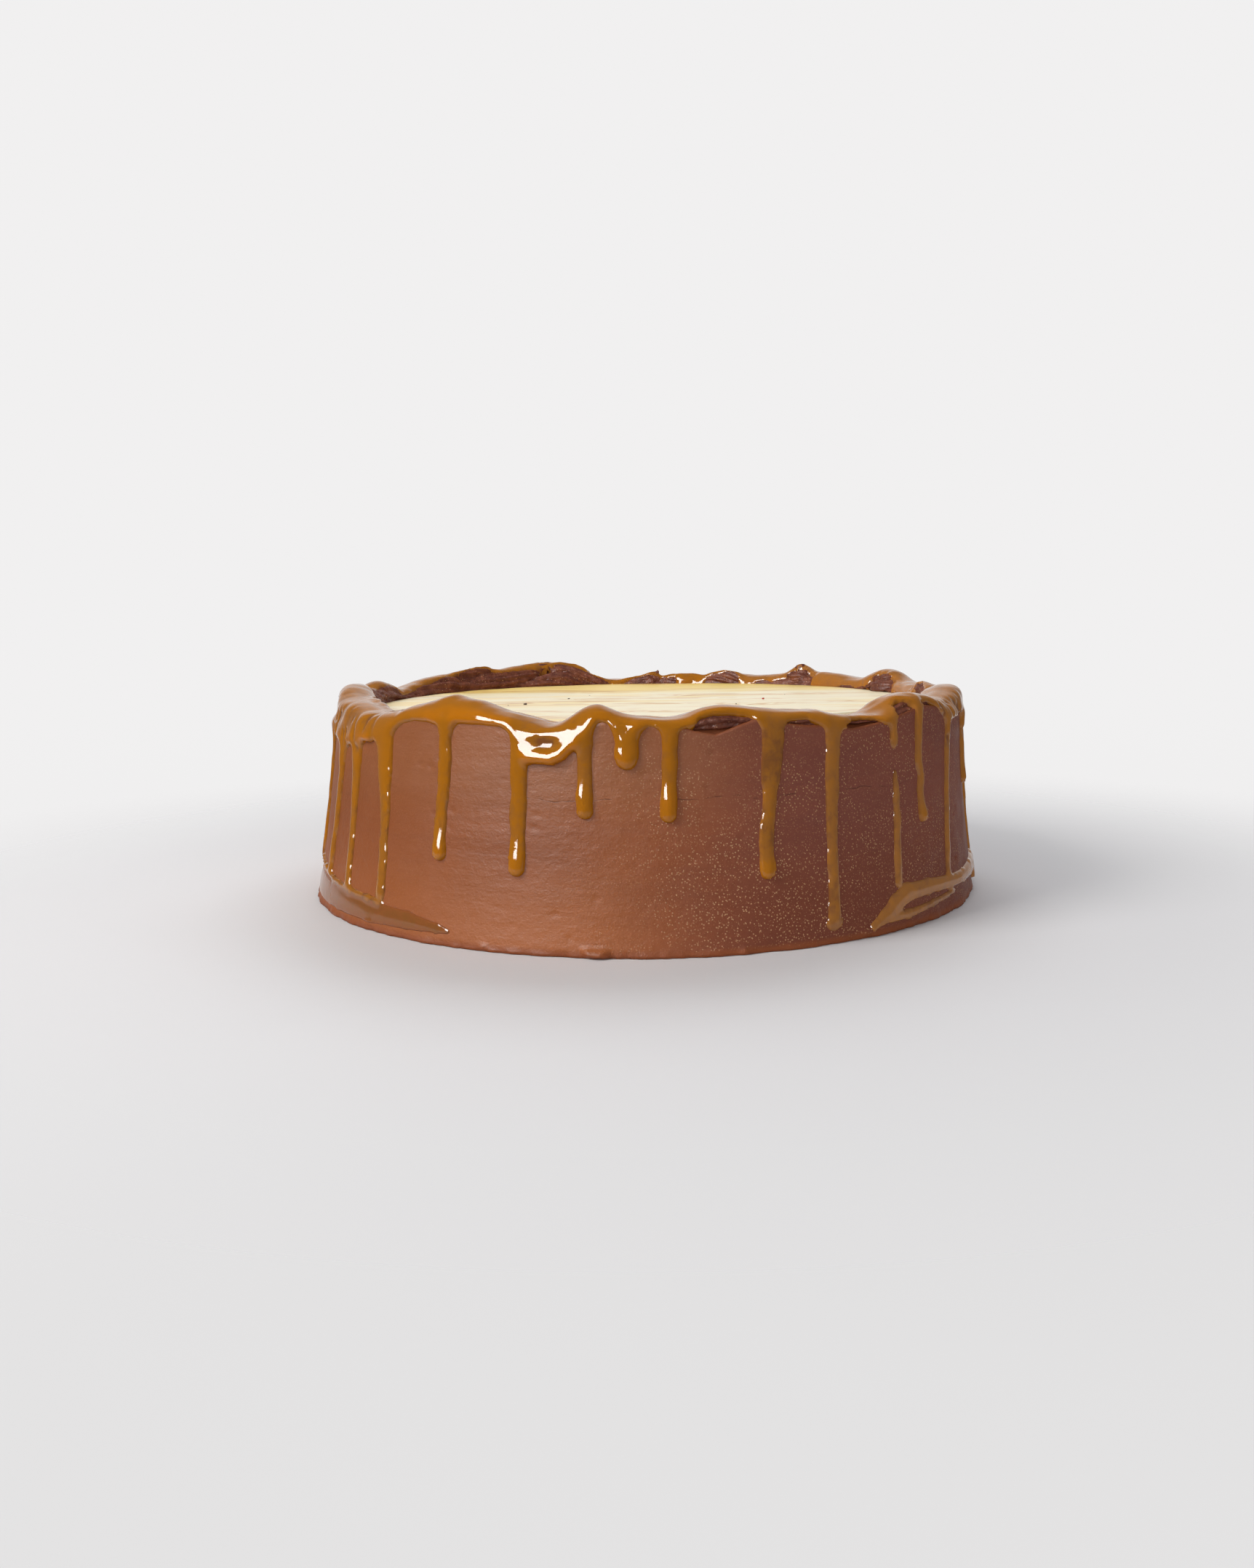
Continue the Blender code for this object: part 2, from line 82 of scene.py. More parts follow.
# height of the scraped top edge where it isn't level: angle, height
RIM = (
    (-44, 69.4), (-41, 71.2), (-38.6, 72.4), (-34, 72.4), (-30, 72.4), (-25, 72.2), (-20.9, 71.6),
    (-19.8, 70.2), (-16, 69.4), (-10, 69.4), (-8.2, 71.4), (-6.4, 72.4), (-4.6, 71), (0, 71), (2, 71),
    (4.6, 70.6), (6.7, 69.1), (9.9, 67.8), (12.6, 69.9), (15.9, 72.4), (18.4, 72.2), (21, 70.4),
    (24, 69.6), (29, 69), (32.1, 67.8), (36.7, 68.6), (41.1, 70.2), (44, 71.4), (49, 73.4), (54, 72.4),
    (59, 69.6),
)
PITS = 190
# lumps of frosting at the foot: angle, height, half width, half height, how far out
LUMPS = (
    (-7.3, 1.5, 3.4, 1.3, 2.2), (-8.8, 2.2, 1.4, 0.8, 1), (-24, 1.2, 1.4, 0.9, 0.8),
    (13, 1.3, 1, 0.8, 0.6), (33, 2.3, 2.6, 0.8, 0.8), (-47, 2.4, 3, 0.8, 0.6),
)

# the piped ring
RING_RADIUS = 0.5 * (DISC_RADIUS + SIDE_TOP_RADIUS) + 0.4
RING_HALF_WIDTH = 7.4
RING_STEPS = 900
RING_SIDES = 72
RING_RIDGES = 9
RING_SINK = 0.3  # how far its foot sinks into the cake
RIDGE_DEPTH = 0.22  # groove depth as a share of the section's size
SKEW_ANGLE = 78.0  # the crest stands out round these angles, left and right
SKEW_SPREAD = 13.0
SIDE_SKEW = 2.6
CREST_PASSES = 12  # how often the crest's corners are smoothed
# height of the piping's crest: angle, height
CREST = (
    (-172, 74.5), (-160, 78.5), (-150, 78), (-140, 78.5), (-130, 79.6), (-124, 79.4), (-119, 78.2),
    (-115, 76.4), (-111, 74.6), (-107, 74.6), (-104, 77.2), (-100, 79.4), (-97, 79.2), (-93.5, 76),
    (-91, 76.4), (-88, 79), (-83, 79.8), (-78, 78.8), (-73, 76), (-69, 74.6), (-64, 74.2), (-56, 71.9),
    (-51, 71.8), (-45, 73.4), (-38, 77), (-34, 78.4), (-29, 77.6), (-23, 74), (-17, 70.8), (-14, 69.2),
    (-11.5, 73.2), (-8, 77.2), (-4.5, 73.2), (1, 72), (5, 71.6), (8, 74.6), (12, 75.6), (16.7, 74.2),
    (20.5, 73.5), (27.4, 72.9), (30.4, 71.4), (34, 70.2), (38, 70), (41, 71.4), (44, 75), (48, 76.6),
    (52, 76.2), (57, 74.2), (62, 72.8), (67, 74.6), (71, 76.4), (75, 77.2), (79, 76), (83, 73.8),
    (87, 73), (91, 73.4), (95, 74.6), (99, 75.2), (103, 75.4), (106, 77.4), (109, 80), (112, 81),
    (115, 78.8), (118, 76), (122, 76), (130, 77.8), (137, 78.4), (145, 76.6), (151, 75.8), (158, 77.2),
    (165, 74.4), (172, 74.6), (180, 74.2),
)
STRAND_STEPS = 90
STRAND_SIDES = 40
STRAND_RIDGES = 8
STRAND_GROOVE = 0.34
STRAND_TWIST = 1.6
PIPING_VOXEL = 0.42
# separate ropes laid on the ring: knots of angle, radius, height, half thickness
STRANDS = (
    ((-101, 112, 71, 2), (-110, 111.5, 72.4, 3), (-119, 111.5, 73.6, 4.2), (-126, 111.5, 74.6, 5.2),
     (-129.5, 111, 74.8, 4.6)),
    ((-127, 112, 79, 1.8), (-133, 113, 80.2, 2.2), (-138, 113.5, 80.9, 2.5), (-143, 114, 79.6, 1.8)),
    ((-130, 110, 72.6, 3.2), (-136, 110.4, 73.4, 4.4), (-143, 110.8, 75, 4.2), (-149, 111.6, 77.6, 3.4),
     (-154.5, 112.6, 79.6, 1.8)),
    ((-131, 111.8, 75.8, 2.2), (-137, 111.8, 77.2, 2.6), (-144, 112, 78.8, 2.4), (-150, 112.6, 79.8, 2.2),
     (-155, 113, 80.6, 1.6)),
    ((-144, 109.6, 71.6, 1.6), (-150, 109.4, 72.8, 2.9), (-156, 109.6, 74.8, 4.4),
     (-161, 109.8, 74.8, 4.6), (-166, 109.8, 72.8, 2.6)),
    ((-157, 112.6, 79.6, 3), (-162, 111.4, 79, 3.2), (-166, 110.4, 76.6, 2.7), (-170, 109.6, 74, 2),
     (-173, 109.2, 72.2, 1)),
    ((-140, 116, 77, 3), (-147, 116.4, 78.8, 3.6), (-154, 116, 80.6, 3.6), (-159, 115.2, 81.4, 3),
     (-164, 114.6, 80, 2.8), (-168, 114.4, 77, 2)),
    ((-155, 112.2, 83.6, 0.9), (-155.4, 110.6, 82, 1.1), (-156, 110, 80.2, 0.4)),
    ((-174, 110.8, 72, 1.6), (-178, 111, 73.2, 2.4), (178, 111.4, 74.4, 2.6), (174.5, 112, 74.8, 2.2)),
    ((179.4, 111.6, 76.4, 1.2), (177.6, 110.4, 75, 1.9), (176.6, 109.2, 73, 1.3),
     (176.4, 108.6, 71.8, 0.5)),
    ((178.6, 112.4, 76.2, 1.4), (176.8, 112.2, 77.2, 1.5), (175.4, 112.2, 78.2, 0.9),
     (175.2, 112.2, 80.2, 0.2)),
    ((175, 111.6, 73.6, 2.2), (171, 111.4, 74.4, 2.9), (166, 111.6, 74.2, 2.9), (163, 111.8, 73.4, 2)),
    ((164.4, 110.8, 73.4, 2), (160.5, 110.6, 74.6, 3.6), (156.5, 110.4, 75, 4),
     (152.8, 110.6, 73.8, 3.2)),
    ((153, 109.4, 72.2, 1.6), (147, 109.2, 72.8, 2.1), (140, 109.2, 72.9, 2.3), (132, 109.6, 72.4, 2.2)),
    ((128, 109.6, 72, 1.5), (123, 109.2, 72.6, 2), (119, 109.4, 72.4, 1.6), (116.6, 109, 71.9, 0.8)),
    ((117.6, 109.8, 73.2, 0.8), (115.6, 109.4, 72.4, 1.3), (113, 109.8, 71.9, 0.9)),
    ((93, 110.8, 73.4, 2.2), (88, 110.6, 74.6, 2.7), (82, 111, 73.6, 2)),
    ((-86, 110.4, 73, 2.4), (-92, 110.2, 74, 2.8), (-98, 110.4, 73.2, 2.2)),
    ((-60, 109.4, 71.6, 1.2), (-66, 109.2, 73, 2.3), (-72, 110.4, 72.6, 2.4), (-80, 110.4, 73, 2)),
    ((-29, 110.4, 72.2, 2), (-36, 110.2, 73.4, 3), (-44, 110.4, 72.2, 2.2)),
)
ROSETTE_RIDGES = 6
ROSETTE_GROOVE = 0.3
ROSETTE_TWIST = 2.5
# rosettes: angle, radius of the ring they stand on, foot, height, reach, turns
ROSETTES = (
    (138, 114, 72.6, 7.6, 6, 1.9), (108.5, 112.4, 70.6, 7, 6.6, 2), (-91, 113.6, 70.6, 3.4, 5.4, 1.6),
    (85, 113.6, 70, 2.6, 5, 1.6), (-34, 114.6, 71, 5.8, 6.2, 1.6), (54, 114.6, 68.8, 4.4, 5.8, 1.6),
)

# the caramel's own surface: paths run over the ring, round a pivot, and down the side
PIVOT_RADIUS = 112.0
PIVOT_HEIGHT = 66.0
PIVOT_REACH = 12.0
WALL_FROM = 0.5 * math.pi * PIVOT_REACH  # the path's length where the side begins
RAY_LENGTH = 60.0
CELL = 0.56  # the grid's spacing
PATH_FROM = -11.0
FOOT_CLEARANCE = 0.9
NOWHERE = -50.0  # far outside any sauce
# the cover's lower edge round the front: angle, height
COVER_EDGE = (
    (-92, 66.5), (-85, 65.5), (-78, 64.4), (-70, 62), (-64, 60.4), (-60.6, 60), (-57, 62.2),
    (-51.4, 62.6), (-47.4, 64.6), (-44.4, 67.6), (-41.6, 70.2), (-39, 71.2), (-36, 71.2), (-34.4, 70.4),
    (-30, 71.2), (-25, 70.9), (-22.4, 70.4), (-20.6, 69.4), (-19.8, 66), (-19.2, 60.4), (-17, 58.9),
    (-13.8, 58.8), (-12.2, 60.4), (-10.8, 63.4), (-9.4, 65.8), (-8.1, 69.8), (-7.1, 72), (-5.7, 72),
    (-4.4, 70.2), (-1.6, 69.8), (0, 70.8), (1.5, 70.6), (4.6, 70.3), (6.5, 69.6), (7.6, 73.2),
    (9.6, 74.4), (12.5, 74.5), (15, 73.2), (16.5, 71.4), (20.3, 71.2), (24.2, 71.7), (26, 69.4),
    (31, 67.6), (32.6, 70.6), (35, 71.3), (37.4, 70.2), (39, 68), (41.6, 70.4), (43, 75.2), (44.4, 76.6),
    (45.6, 75.8), (47.2, 73.4), (49, 74.6), (52, 74.4), (54.2, 72.4), (57, 68.6), (61, 66.4), (70, 68),
    (78, 69.6), (88, 70.2),
)
BACK_EDGE_HEIGHT = 70.6  # the same edge round the back, before it waves
# the cover's inner edge, as a height on the ring's inner face: angle, height
INNER_EDGE = (
    (-106, 75.6), (-110, 75.8), (-114, 77.4), (-120, 79.6), (-124, 80.4), (-129, 81.2), (-133, 84),
    (-138, 84.4), (-141.4, 82.4), (-142.5, 80.6), (-149, 81.4), (-153.4, 82.2), (-154.6, 83.6),
    (-158, 86.5), (-163.4, 86), (-165.4, 81.6), (-168, 78), (-170.6, 75.8), (-172.6, 73.6),
    (-173.2, 70.6), (-174.8, 70.6), (-175.6, 74.6), (-177.6, 77), (-179, 80.5), (173.4, 80.5),
    (172.6, 77.4), (170.6, 77.6), (169.9, 70.6), (163.6, 70.6), (162.4, 75.8), (160.2, 78), (156.8, 78.8),
    (154.8, 78.4), (153.9, 76.2), (153.3, 70.6), (150.6, 70.6), (148.8, 73.8), (146.8, 75.2),
    (144.4, 73.8), (142.6, 75.4), (140.4, 76.6), (139.2, 79.6), (137.6, 82.2), (134.6, 82.4), (133.2, 79),
    (132.8, 70.6), (127.4, 70.6), (124.6, 73), (120.2, 74.2), (118, 72.6), (115.7, 73.4), (113.6, 72.4),
    (112.8, 76), (111, 80), (107, 81), (104.8, 79.4), (103.6, 74), (102, 71.4), (93, 71.4), (90, 72.4),
    (88.4, 77), (86.5, 79.4), (83, 78.4), (81, 73), (78, 72), (66, 72.4), (52, 74), (44, 71.4), (30, 72),
    (18, 73.6), (8, 74.2), (0, 72), (-10, 74.4), (-20, 72.8), (-32, 77), (-38, 77.2), (-48, 72),
    (-56, 73), (-61, 73.4), (-64, 76), (-69, 76), (-72, 73.4), (-79, 73.6), (-82, 76), (-85, 80.5),
    (-90, 84), (-94.5, 84), (-97, 80.4), (-102, 79),
)
EDGE_WAVE = 0.5  # how far both edges wave
UNDERSIDE = 1.3  # how far the hidden underside lies in what carries the sauce
THINNEST = 0.5  # what a hollow leaves of the sauce
COVER_DEPTH = 1.25
EDGE_REACH = 4.6  # how far up from the cover's lower edge more sauce gathers
# the depth gathered there: angle, extra depth
GATHER = (
    (-100, 0.9), (-60, 1), (-46, 1.1), (-40, 1.2), (-34, 1.9), (-26, 2), (-22, 2), (-19, 2), (-14, 2.5),
    (-10.5, 2), (-8, 1), (-4, 0.9), (4, 0.9), (12, 0.8), (20, 0.8), (30, 1), (44, 0.9), (60, 1),
    (100, 0.9),
)
# hollows and swells in the sauce: angle, height, half width, half height, change of depth
HOLLOWS = (
    (-14.8, 65.4, 3.6, 2, -1.6), (-17, 68.2, 1.6, 1, 0.4), (-3.6, 68.4, 2, 2, -0.5),
    (-17.6, 62.2, 3, 1.6, 0.4), (-11.4, 69.6, 2.6, 2, 0.4), (-1.4, 70.4, 2.2, 1.8, 0.4),
)
COVER_BEAD = 2.9  # how far in from its edge the cover reaches its depth
FILLET = 3.4  # the sweep where a drip leaves the cover
RUN_FILLET = 1.6
# drips: knots of height, angle, half width, depth, from the cover down
DRIPS = (
    ((70, -85, 2.4, 1.6), (52, -86, 1.6, 1.4), (40, -86.4, 2.1, 1.7), (28, -86.8, 1.5, 1.3),
     (17, -87.4, 2, 1.8)),
    ((70, -76, 3.2, 1.6), (56, -76.4, 1.9, 1.3), (38, -76.8, 1.5, 1.2), (22, -77.2, 1.8, 1.3),
     (14, -77.4, 1.6, 1.2)),
    ((66, -63, 3.9, 1.7), (54, -63.8, 3, 1.5), (42, -64.1, 2.4, 1.3), (30, -64.3, 2.1, 1.2),
     (12, -65, 2.4, 1.2)),
    ((68, -56.6, 5.6, 1.8), (60, -56.3, 4.2, 1.7), (54, -56.1, 3.7, 1.6), (48, -56, 3, 1.5),
     (42, -55.9, 2.6, 1.3), (30, -55.6, 2.2, 1.1), (11, -55.2, 2.3, 1.1)),
    ((70, -46.8, 6.2, 2), (62, -46.5, 4.8, 1.9), (54, -46.1, 4.3, 1.7), (49, -45.9, 3.2, 1.5),
     (43, -45.6, 3, 1.3), (37, -45.3, 2.4, 1.1), (10.5, -44.5, 2.4, 1)),
    ((75, -32, 3.2, 1.9), (66, -32.1, 2.7, 1.5), (49, -32.2, 2.6, 1.2), (40, -32.5, 2.5, 1.1),
     (35.5, -32.5, 2.5, 1.4), (31.5, -32.5, 2.8, 2), (26.8, -32.4, 2.65, 2)),
    ((74, -19.2, 3.3, 1.9), (61.5, -19.2, 2.9, 1.5), (50, -19.1, 2.85, 1.2), (40, -19.15, 2.7, 1.2),
     (34, -19.15, 2.65, 1.4), (29.5, -19.2, 2.9, 2.1), (23.8, -19.25, 2.75, 2.1)),
    ((76, -9.4, 3, 1.8), (66, -9.2, 2.6, 1.2), (57, -9.2, 2.5, 1), (53, -9.2, 2.55, 1.4),
     (49, -9.2, 2.8, 2), (42.2, -9.2, 2.75, 2.1)),
    ((76, -3, 5.4, 1.6), (70, -3.1, 4.3, 1.6), (66, -3.1, 3.8, 2), (62, -3.1, 3.7, 2.4),
     (57.3, -3.1, 3.5, 2.5)),
    ((76, 3.3, 3.2, 1.9), (69.3, 3.2, 2.6, 1.4), (58, 3.1, 2.45, 1.2), (53, 3, 2.4, 1.3),
     (48, 2.9, 2.7, 2), (41, 2.9, 2.65, 2.1)),
    ((76, 18.6, 4.8, 1.4), (71, 18.4, 4.1, 0.9), (62, 18.3, 3.7, 0.7), (56, 18.1, 3.4, 0.75),
     (52, 18, 3, 0.9), (47, 17.8, 2.3, 1.1), (40, 17.3, 2.5, 0.9), (33, 17, 2.5, 0.9),
     (30, 17, 2.45, 1.2), (27, 17, 2.65, 1.8), (22.3, 16.9, 2.55, 1.9)),
    ((75, 28.8, 3.9, 1.6), (67, 28.5, 3.1, 1), (45.5, 28, 2.5, 0.85), (30, 27.6, 2.15, 0.85),
     (15, 27.4, 2.1, 0.8), (8, 27.1, 2.4, 0.8), (4, 26.9, 3.4, 0.8)),
    ((72, 41.2, 2.5, 1.6), (67, 40.9, 1.8, 1.3), (63, 41.1, 2.1, 1.3), (59.8, 41, 1.5, 0.9)),
    ((52, 41.1, 1, 0.7), (46, 41.3, 1.7, 1), (30, 40.9, 1.9, 0.9), (14, 40.3, 1.9, 0.8)),
    ((78, 48.1, 3, 1.8), (68, 47.9, 2.4, 1.3), (60, 47.6, 2.1, 1.1), (54, 47.6, 2.2, 1.2),
     (50, 48, 2.1, 1.1), (44, 47.8, 1.8, 1), (40, 47.9, 1.9, 1.2), (37, 48.1, 2.6, 1.8),
     (33.6, 48, 2.5, 1.9)),
    ((72, 59.2, 3.4, 1.7), (63.6, 59.1, 2.2, 1.3), (52, 58.2, 2, 1.1), (38, 57.4, 1.9, 1.1),
     (11.8, 55.5, 2, 0.9)),
    ((74, 71.5, 2.6, 1.8), (62, 71.6, 1.6, 1.5), (50, 71.4, 1.9, 1.6), (41, 71.2, 2, 2)),
    ((74, 79, 3, 1.9), (60, 79.2, 1.8, 1.5), (45, 79.4, 2.1, 1.6), (28, 79.8, 1.6, 1.4),
     (12, 80.2, 2.2, 1.4)),
    ((74, 86.5, 2.6, 1.8), (58, 86.8, 1.5, 1.4), (47, 87, 2, 1.8), (36, 87.2, 2.1, 2.1)),
)
DRIP_WOBBLE = 0.10  # how unevenly wide a drip is
# drips on the hidden side, by the same rule as in the solids
BACK_DRIPS = 12
BACK_FROM = 92.0
BACK_TO = 270.0
BACK_ENDS = (18.0, 26.0, 34.0, 43.0, 52.0)
# runs along the foot: knots of angle, height, half width, depth
RUNS = (
    ((-74, 16, 0.9, 1.2), (-68, 13.6, 1.1, 1.3), (-62, 12, 0.9, 1.1), (-54, 11, 1, 1.1),
     (-48, 10.4, 1, 1), (-44.6, 9.4, 1.8, 1)),
    ((34.2, 3.2, 1.5, 1), (36.6, 5.6, 2.2, 0.9), (39.2, 8.8, 3.2, 0.9), (42, 11.6, 3.2, 1),
     (48, 11.6, 2.7, 1), (56, 10.4, 2.4, 1.2), (63, 9.6, 2.4, 1.4), (70, 9.6, 2.8, 1.6),
     (78, 10, 3.2, 1.8), (85, 9, 2.8, 1.6)),
    ((38, 4.6, 1.5, 0.8), (42, 4.6, 1.5, 0.8), (49, 5.6, 1.2, 0.7), (57, 6.4, 1, 0.6)),
    ((74, 8, 1.8, 1.6), (75, 4.6, 1.5, 1.8)),
    ((81, 8, 1.8, 1.6), (82.5, 3.8, 1.5, 1.8)),
)
# a thin stain of sauce below the run at the left
STAIN = (
    (-74, 6.8, 4.8, 0.33), (-58, 6.6, 4.2, 0.33), (-46, 6.4, 3.7, 0.32), (-38, 6.2, 3, 0.3),
    (-32, 5.2, 1.6, 0.3), (-30, 4.8, 0.9, 0.3),
)


def smooth(value):
    """Ease a share of 0 to 1 at both its ends."""
    value = np.clip(value, 0.0, 1.0)
    return value * value * (3.0 - 2.0 * value)


def hashed(cell, seed):
    """A fixed number of 0 to 1 for each cell of whole numbers."""
    mixed = cell[..., 0] * 73856093 ^ cell[..., 1] * 19349663 ^ cell[..., 2] * 83492791
    mixed = (mixed ^ seed * 2654435761) & 0xFFFFFFFF
    mixed = (mixed ^ mixed >> 15) * 2246822519 & 0xFFFFFFFF
    mixed = (mixed ^ mixed >> 13) * 3266489917 & 0xFFFFFFFF
    return ((mixed ^ mixed >> 16) & 0xFFFFFF) / float(0xFFFFFF)


def noise(points, size, seed):
    """Smooth noise of -1 to 1 whose lumps are about as large as size."""
    place = np.asarray(points, float) / size
    cell = np.floor(place).astype(np.int64)
    part = smooth(place - cell)
    total = 0.0
    for corner in itertools.product((0, 1), repeat=3):
        weight = np.where(corner, part, 1.0 - part).prod(axis=-1)
        total = total + weight * hashed(cell + np.array(corner), seed)
    return 2.0 * total - 1.0


def waves(points, seed, level, *parts):
    """Noises of (amount, size) added to a level, each with the next seed."""
    for step, (amount, size) in enumerate(parts):
        level = level + amount * noise(points, size, seed + step)
    return level


def evened(field):
    """A field with each value averaged with its neighbours round the cake."""
    return 0.25 * (np.roll(field, 1, 0) + np.roll(field, -1, 0)) + 0.5 * field


def upright(degrees, height):
    """An angle read off the leaning cake as it is before the lean."""
    shift = LEAN * np.asarray(height) * np.cos(np.radians(degrees)) / SIDE_MEAN_RADIUS
    return degrees - np.degrees(shift)


def round_table(angles, table):
    """A table of (angle, height) on the leaning cake, read right round the upright one."""
    knots, values = np.array(table, float).T
    return np.interp(angles, upright(knots, values), values, period=360.0)


def round_angles(count):
    """Even angles right round the cake."""
    return np.arange(count) * 360.0 / count - 180.0


def full_turn(count):
    """Even turns in radians round a section."""
    return np.linspace(0.0, 2.0 * math.pi, count, endpoint=False)


def arc(angles, middle):
    """How far round the side angles are from a middle one."""
    return np.radians((angles - middle + 180.0) % 360.0 - 180.0) * SIDE_MEAN_RADIUS


def polar(radius, degrees, height):
    """Points at angles from the front."""
    turn = np.radians(degrees)
    parts = np.broadcast_arrays(radius * np.sin(turn), -radius * np.cos(turn), height)
    return np.stack(parts, axis=-1)


def placed(name, data):
    """A new object in the scene."""
    item = bpy.data.objects.new(name, data)
    bpy.context.scene.collection.objects.link(item)
    return item


def new_object(name, points, faces):
    """A smooth-shaded mesh from points in millimetres and equal-sided faces."""
    faces = np.asarray(faces, np.int32)
    count, sides = faces.shape
    mesh = bpy.data.meshes.new(name)
    mesh.vertices.add(len(points))
    mesh.vertices.foreach_set("co", (np.asarray(points) * MM).astype(np.float32).ravel())
    mesh.loops.add(count * sides)
    mesh.loops.foreach_set("vertex_index", faces.ravel())
    mesh.polygons.add(count)
    mesh.polygons.foreach_set("loop_start", np.arange(0, count * sides, sides, dtype=np.int32))
    mesh.update(calc_edges=True)
    mesh.validate()
    mesh.shade_smooth()
    return placed(name, mesh)


def read_rows(vectors, name):
    """A mesh's places or normals as rows."""
    found = np.empty(3 * len(vectors), np.float32)
    vectors.foreach_get(name, found)
    return found.reshape(-1, 3).astype(float)


def mesh_points(item):
    """A mesh's corners in millimetres."""
    return read_rows(item.data.vertices, "co") / MM


def move_points(item, points):
    """Put a mesh's corners at points in millimetres."""
    item.data.vertices.foreach_set("co", (points * MM).astype(np.float32).ravel())
    item.data.update()


def store(item, name, values):
    """Keep a number at each corner of a mesh, for its material."""
    kept = item.data.attributes.new(name, "FLOAT", "POINT")
    kept.data.foreach_set("value", values.astype(np.float32))


@contextlib.contextmanager
def opened(mesh):
    """A mesh opened for editing, and written back at the end."""
    shape = bmesh.new()
    shape.from_mesh(mesh)
    yield shape
    shape.to_mesh(mesh)
    shape.free()


def face_out(mesh):
    """Turn a closed mesh's faces outwards."""
    with opened(mesh) as shape:
        bmesh.ops.recalc_face_normals(shape, faces=shape.faces)


def grid_faces(rows, columns, rows_close=False, columns_close=True):
    """Quads of a grid of rows by columns, which may close on itself both ways."""
    row, column = np.meshgrid(np.arange(rows - (not rows_close)),
                              np.arange(columns - (not columns_close)), indexing="ij")
    below = (row + 1) % rows
    after = (column + 1) % columns
    return np.stack((row * columns + column, row * columns + after,
                     below * columns + after, below * columns + column),
                    axis=-1).reshape(-1, 4)


def capped_grid(name, rows):
    """A closed mesh of rings of points, with a fan in the first and in the last."""
    columns = len(rows[0])
    item = new_object(name, np.concatenate(rows), grid_faces(len(rows), columns))
    with opened(item.data) as shape:
        for start in (0, (len(rows) - 1) * columns):
            shape.verts.ensure_lookup_table()
            ring = [shape.verts[start + step] for step in range(columns)]
            middle = shape.verts.new(sum((vert.co for vert in ring), Vector()) / columns)
            for step in range(columns):
                shape.faces.new((ring[step], ring[(step + 1) % columns], middle))
    face_out(item.data)
    item.data.shade_smooth()
    return item


# ---- frosting


def side_radius(height):
    """The side's mean radius at a height."""
    share = height / SIDE_TOP
    straight = FOOT_RADIUS + (SIDE_TOP_RADIUS - FOOT_RADIUS) * share
    return straight - SIDE_BULGE * 4.0 * share * (1.0 - share)


def rim_height(angles):
    """Height of the frosting's scraped top edge."""
    level = waves(polar(SIDE_TOP_RADIUS, angles, 0.0), 31, SIDE_TOP, (0.35, 9.0))
    shown = (angles > RIM[0][0]) & (angles < RIM[-1][0])
    return np.where(shown, round_table(angles, RIM), level)


def pit_list():
    """Small dents torn in the side: angle, height, half width, half height, depth."""
    draw = random.Random(11)
    return [(draw.uniform(-180, 180), draw.uniform(5, 66), draw.uniform(0.5, 1.7),
             draw.uniform(0.35, 0.8), draw.uniform(0.15, 0.55)) for _ in range(PITS)]


def side_relief(angles, heights):
    """How far the side stands out from its mean radius."""
    places = polar(SIDE_MEAN_RADIUS, angles, heights)
    relief = waves(places, 1, -0.25, (0.30, 42.0), (0.09, (26.0, 26.0, 6.0)),
                   (0.035, (16.0, 16.0, 2.2)), (0.04, 2.6))
    for angle, height, wide, high, depth in pit_list():
        across = arc(angles, angle) / wide
        up = (heights - height) / high
        relief = relief - depth * np.exp(-across * across - up * up)
    for angle, height, wide, high, out in LUMPS:
        across = arc(angles, angle) / wide
        relief = relief + out * np.exp(-across ** 4 - ((heights - height) / high) ** 4)
    lip = smooth((LIP_HEIGHT - heights) / LIP_FADE)
    ragged = waves(places, 5, 0.4, (0.45, 9.0), (0.25, 2.3))
    return relief + lip * (LIP_DEPTH * np.clip(ragged, 0.0, 1.0) - LIP_INSET)


def frosting():
    """The cake in its frosting: top, scraped edge, side, lip and underside."""
    angles = round_angles(SIDE_COLUMNS)
    rim = rim_height(angles)
    rows = [polar(radius, angles, SIDE_TOP) for radius in HIDDEN_RADII]
    base = SIDE_TOP_RADIUS + side_relief(angles, np.full_like(angles, SIDE_TOP))
    for inward, fall in EDGE_STEPS:
        height = np.maximum(rim - fall, SIDE_TOP) if fall > 1.0 else rim - fall
        rows.append(polar(base - inward, angles, height))
    for share in np.linspace(0.0, 1.0, SIDE_ROWS) ** 1.04:
        level = (SIDE_TOP - 0.4) * (1.0 - share)
        height = level + (rim - SIDE_TOP) * smooth(1.0 - (SIDE_TOP - level) / RIM_REACH)
        radius = side_radius(np.minimum(height, SIDE_TOP)) + side_relief(angles, height)
        rows.append(polar(radius, angles, height))
    for radius in (FOOT_RADIUS - 3.0, HIDDEN_RADII[0]):
        rows.append(polar(radius, angles, 0.0))
    item = capped_grid("frosting", rows)
    points = mesh_points(item)
    rim = rim_height(np.degrees(np.arctan2(points[:, 0], -points[:, 1])))
    thin = smooth(1.0 - (rim - points[:, 2]) / EDGE_BAND)
    thin = np.maximum(thin, smooth(1.0 - (points[:, 2] - 0.6 * LIP_HEIGHT) / EDGE_BAND))
    store(item, "edge", thin)
    return item


# ---- piping


def ridged(turn, ridges, groove):
    """A star nozzle's section: round ridges with sharp grooves between them."""
    return 1.0 - groove + groove * np.abs(np.cos(0.5 * ridges * turn))


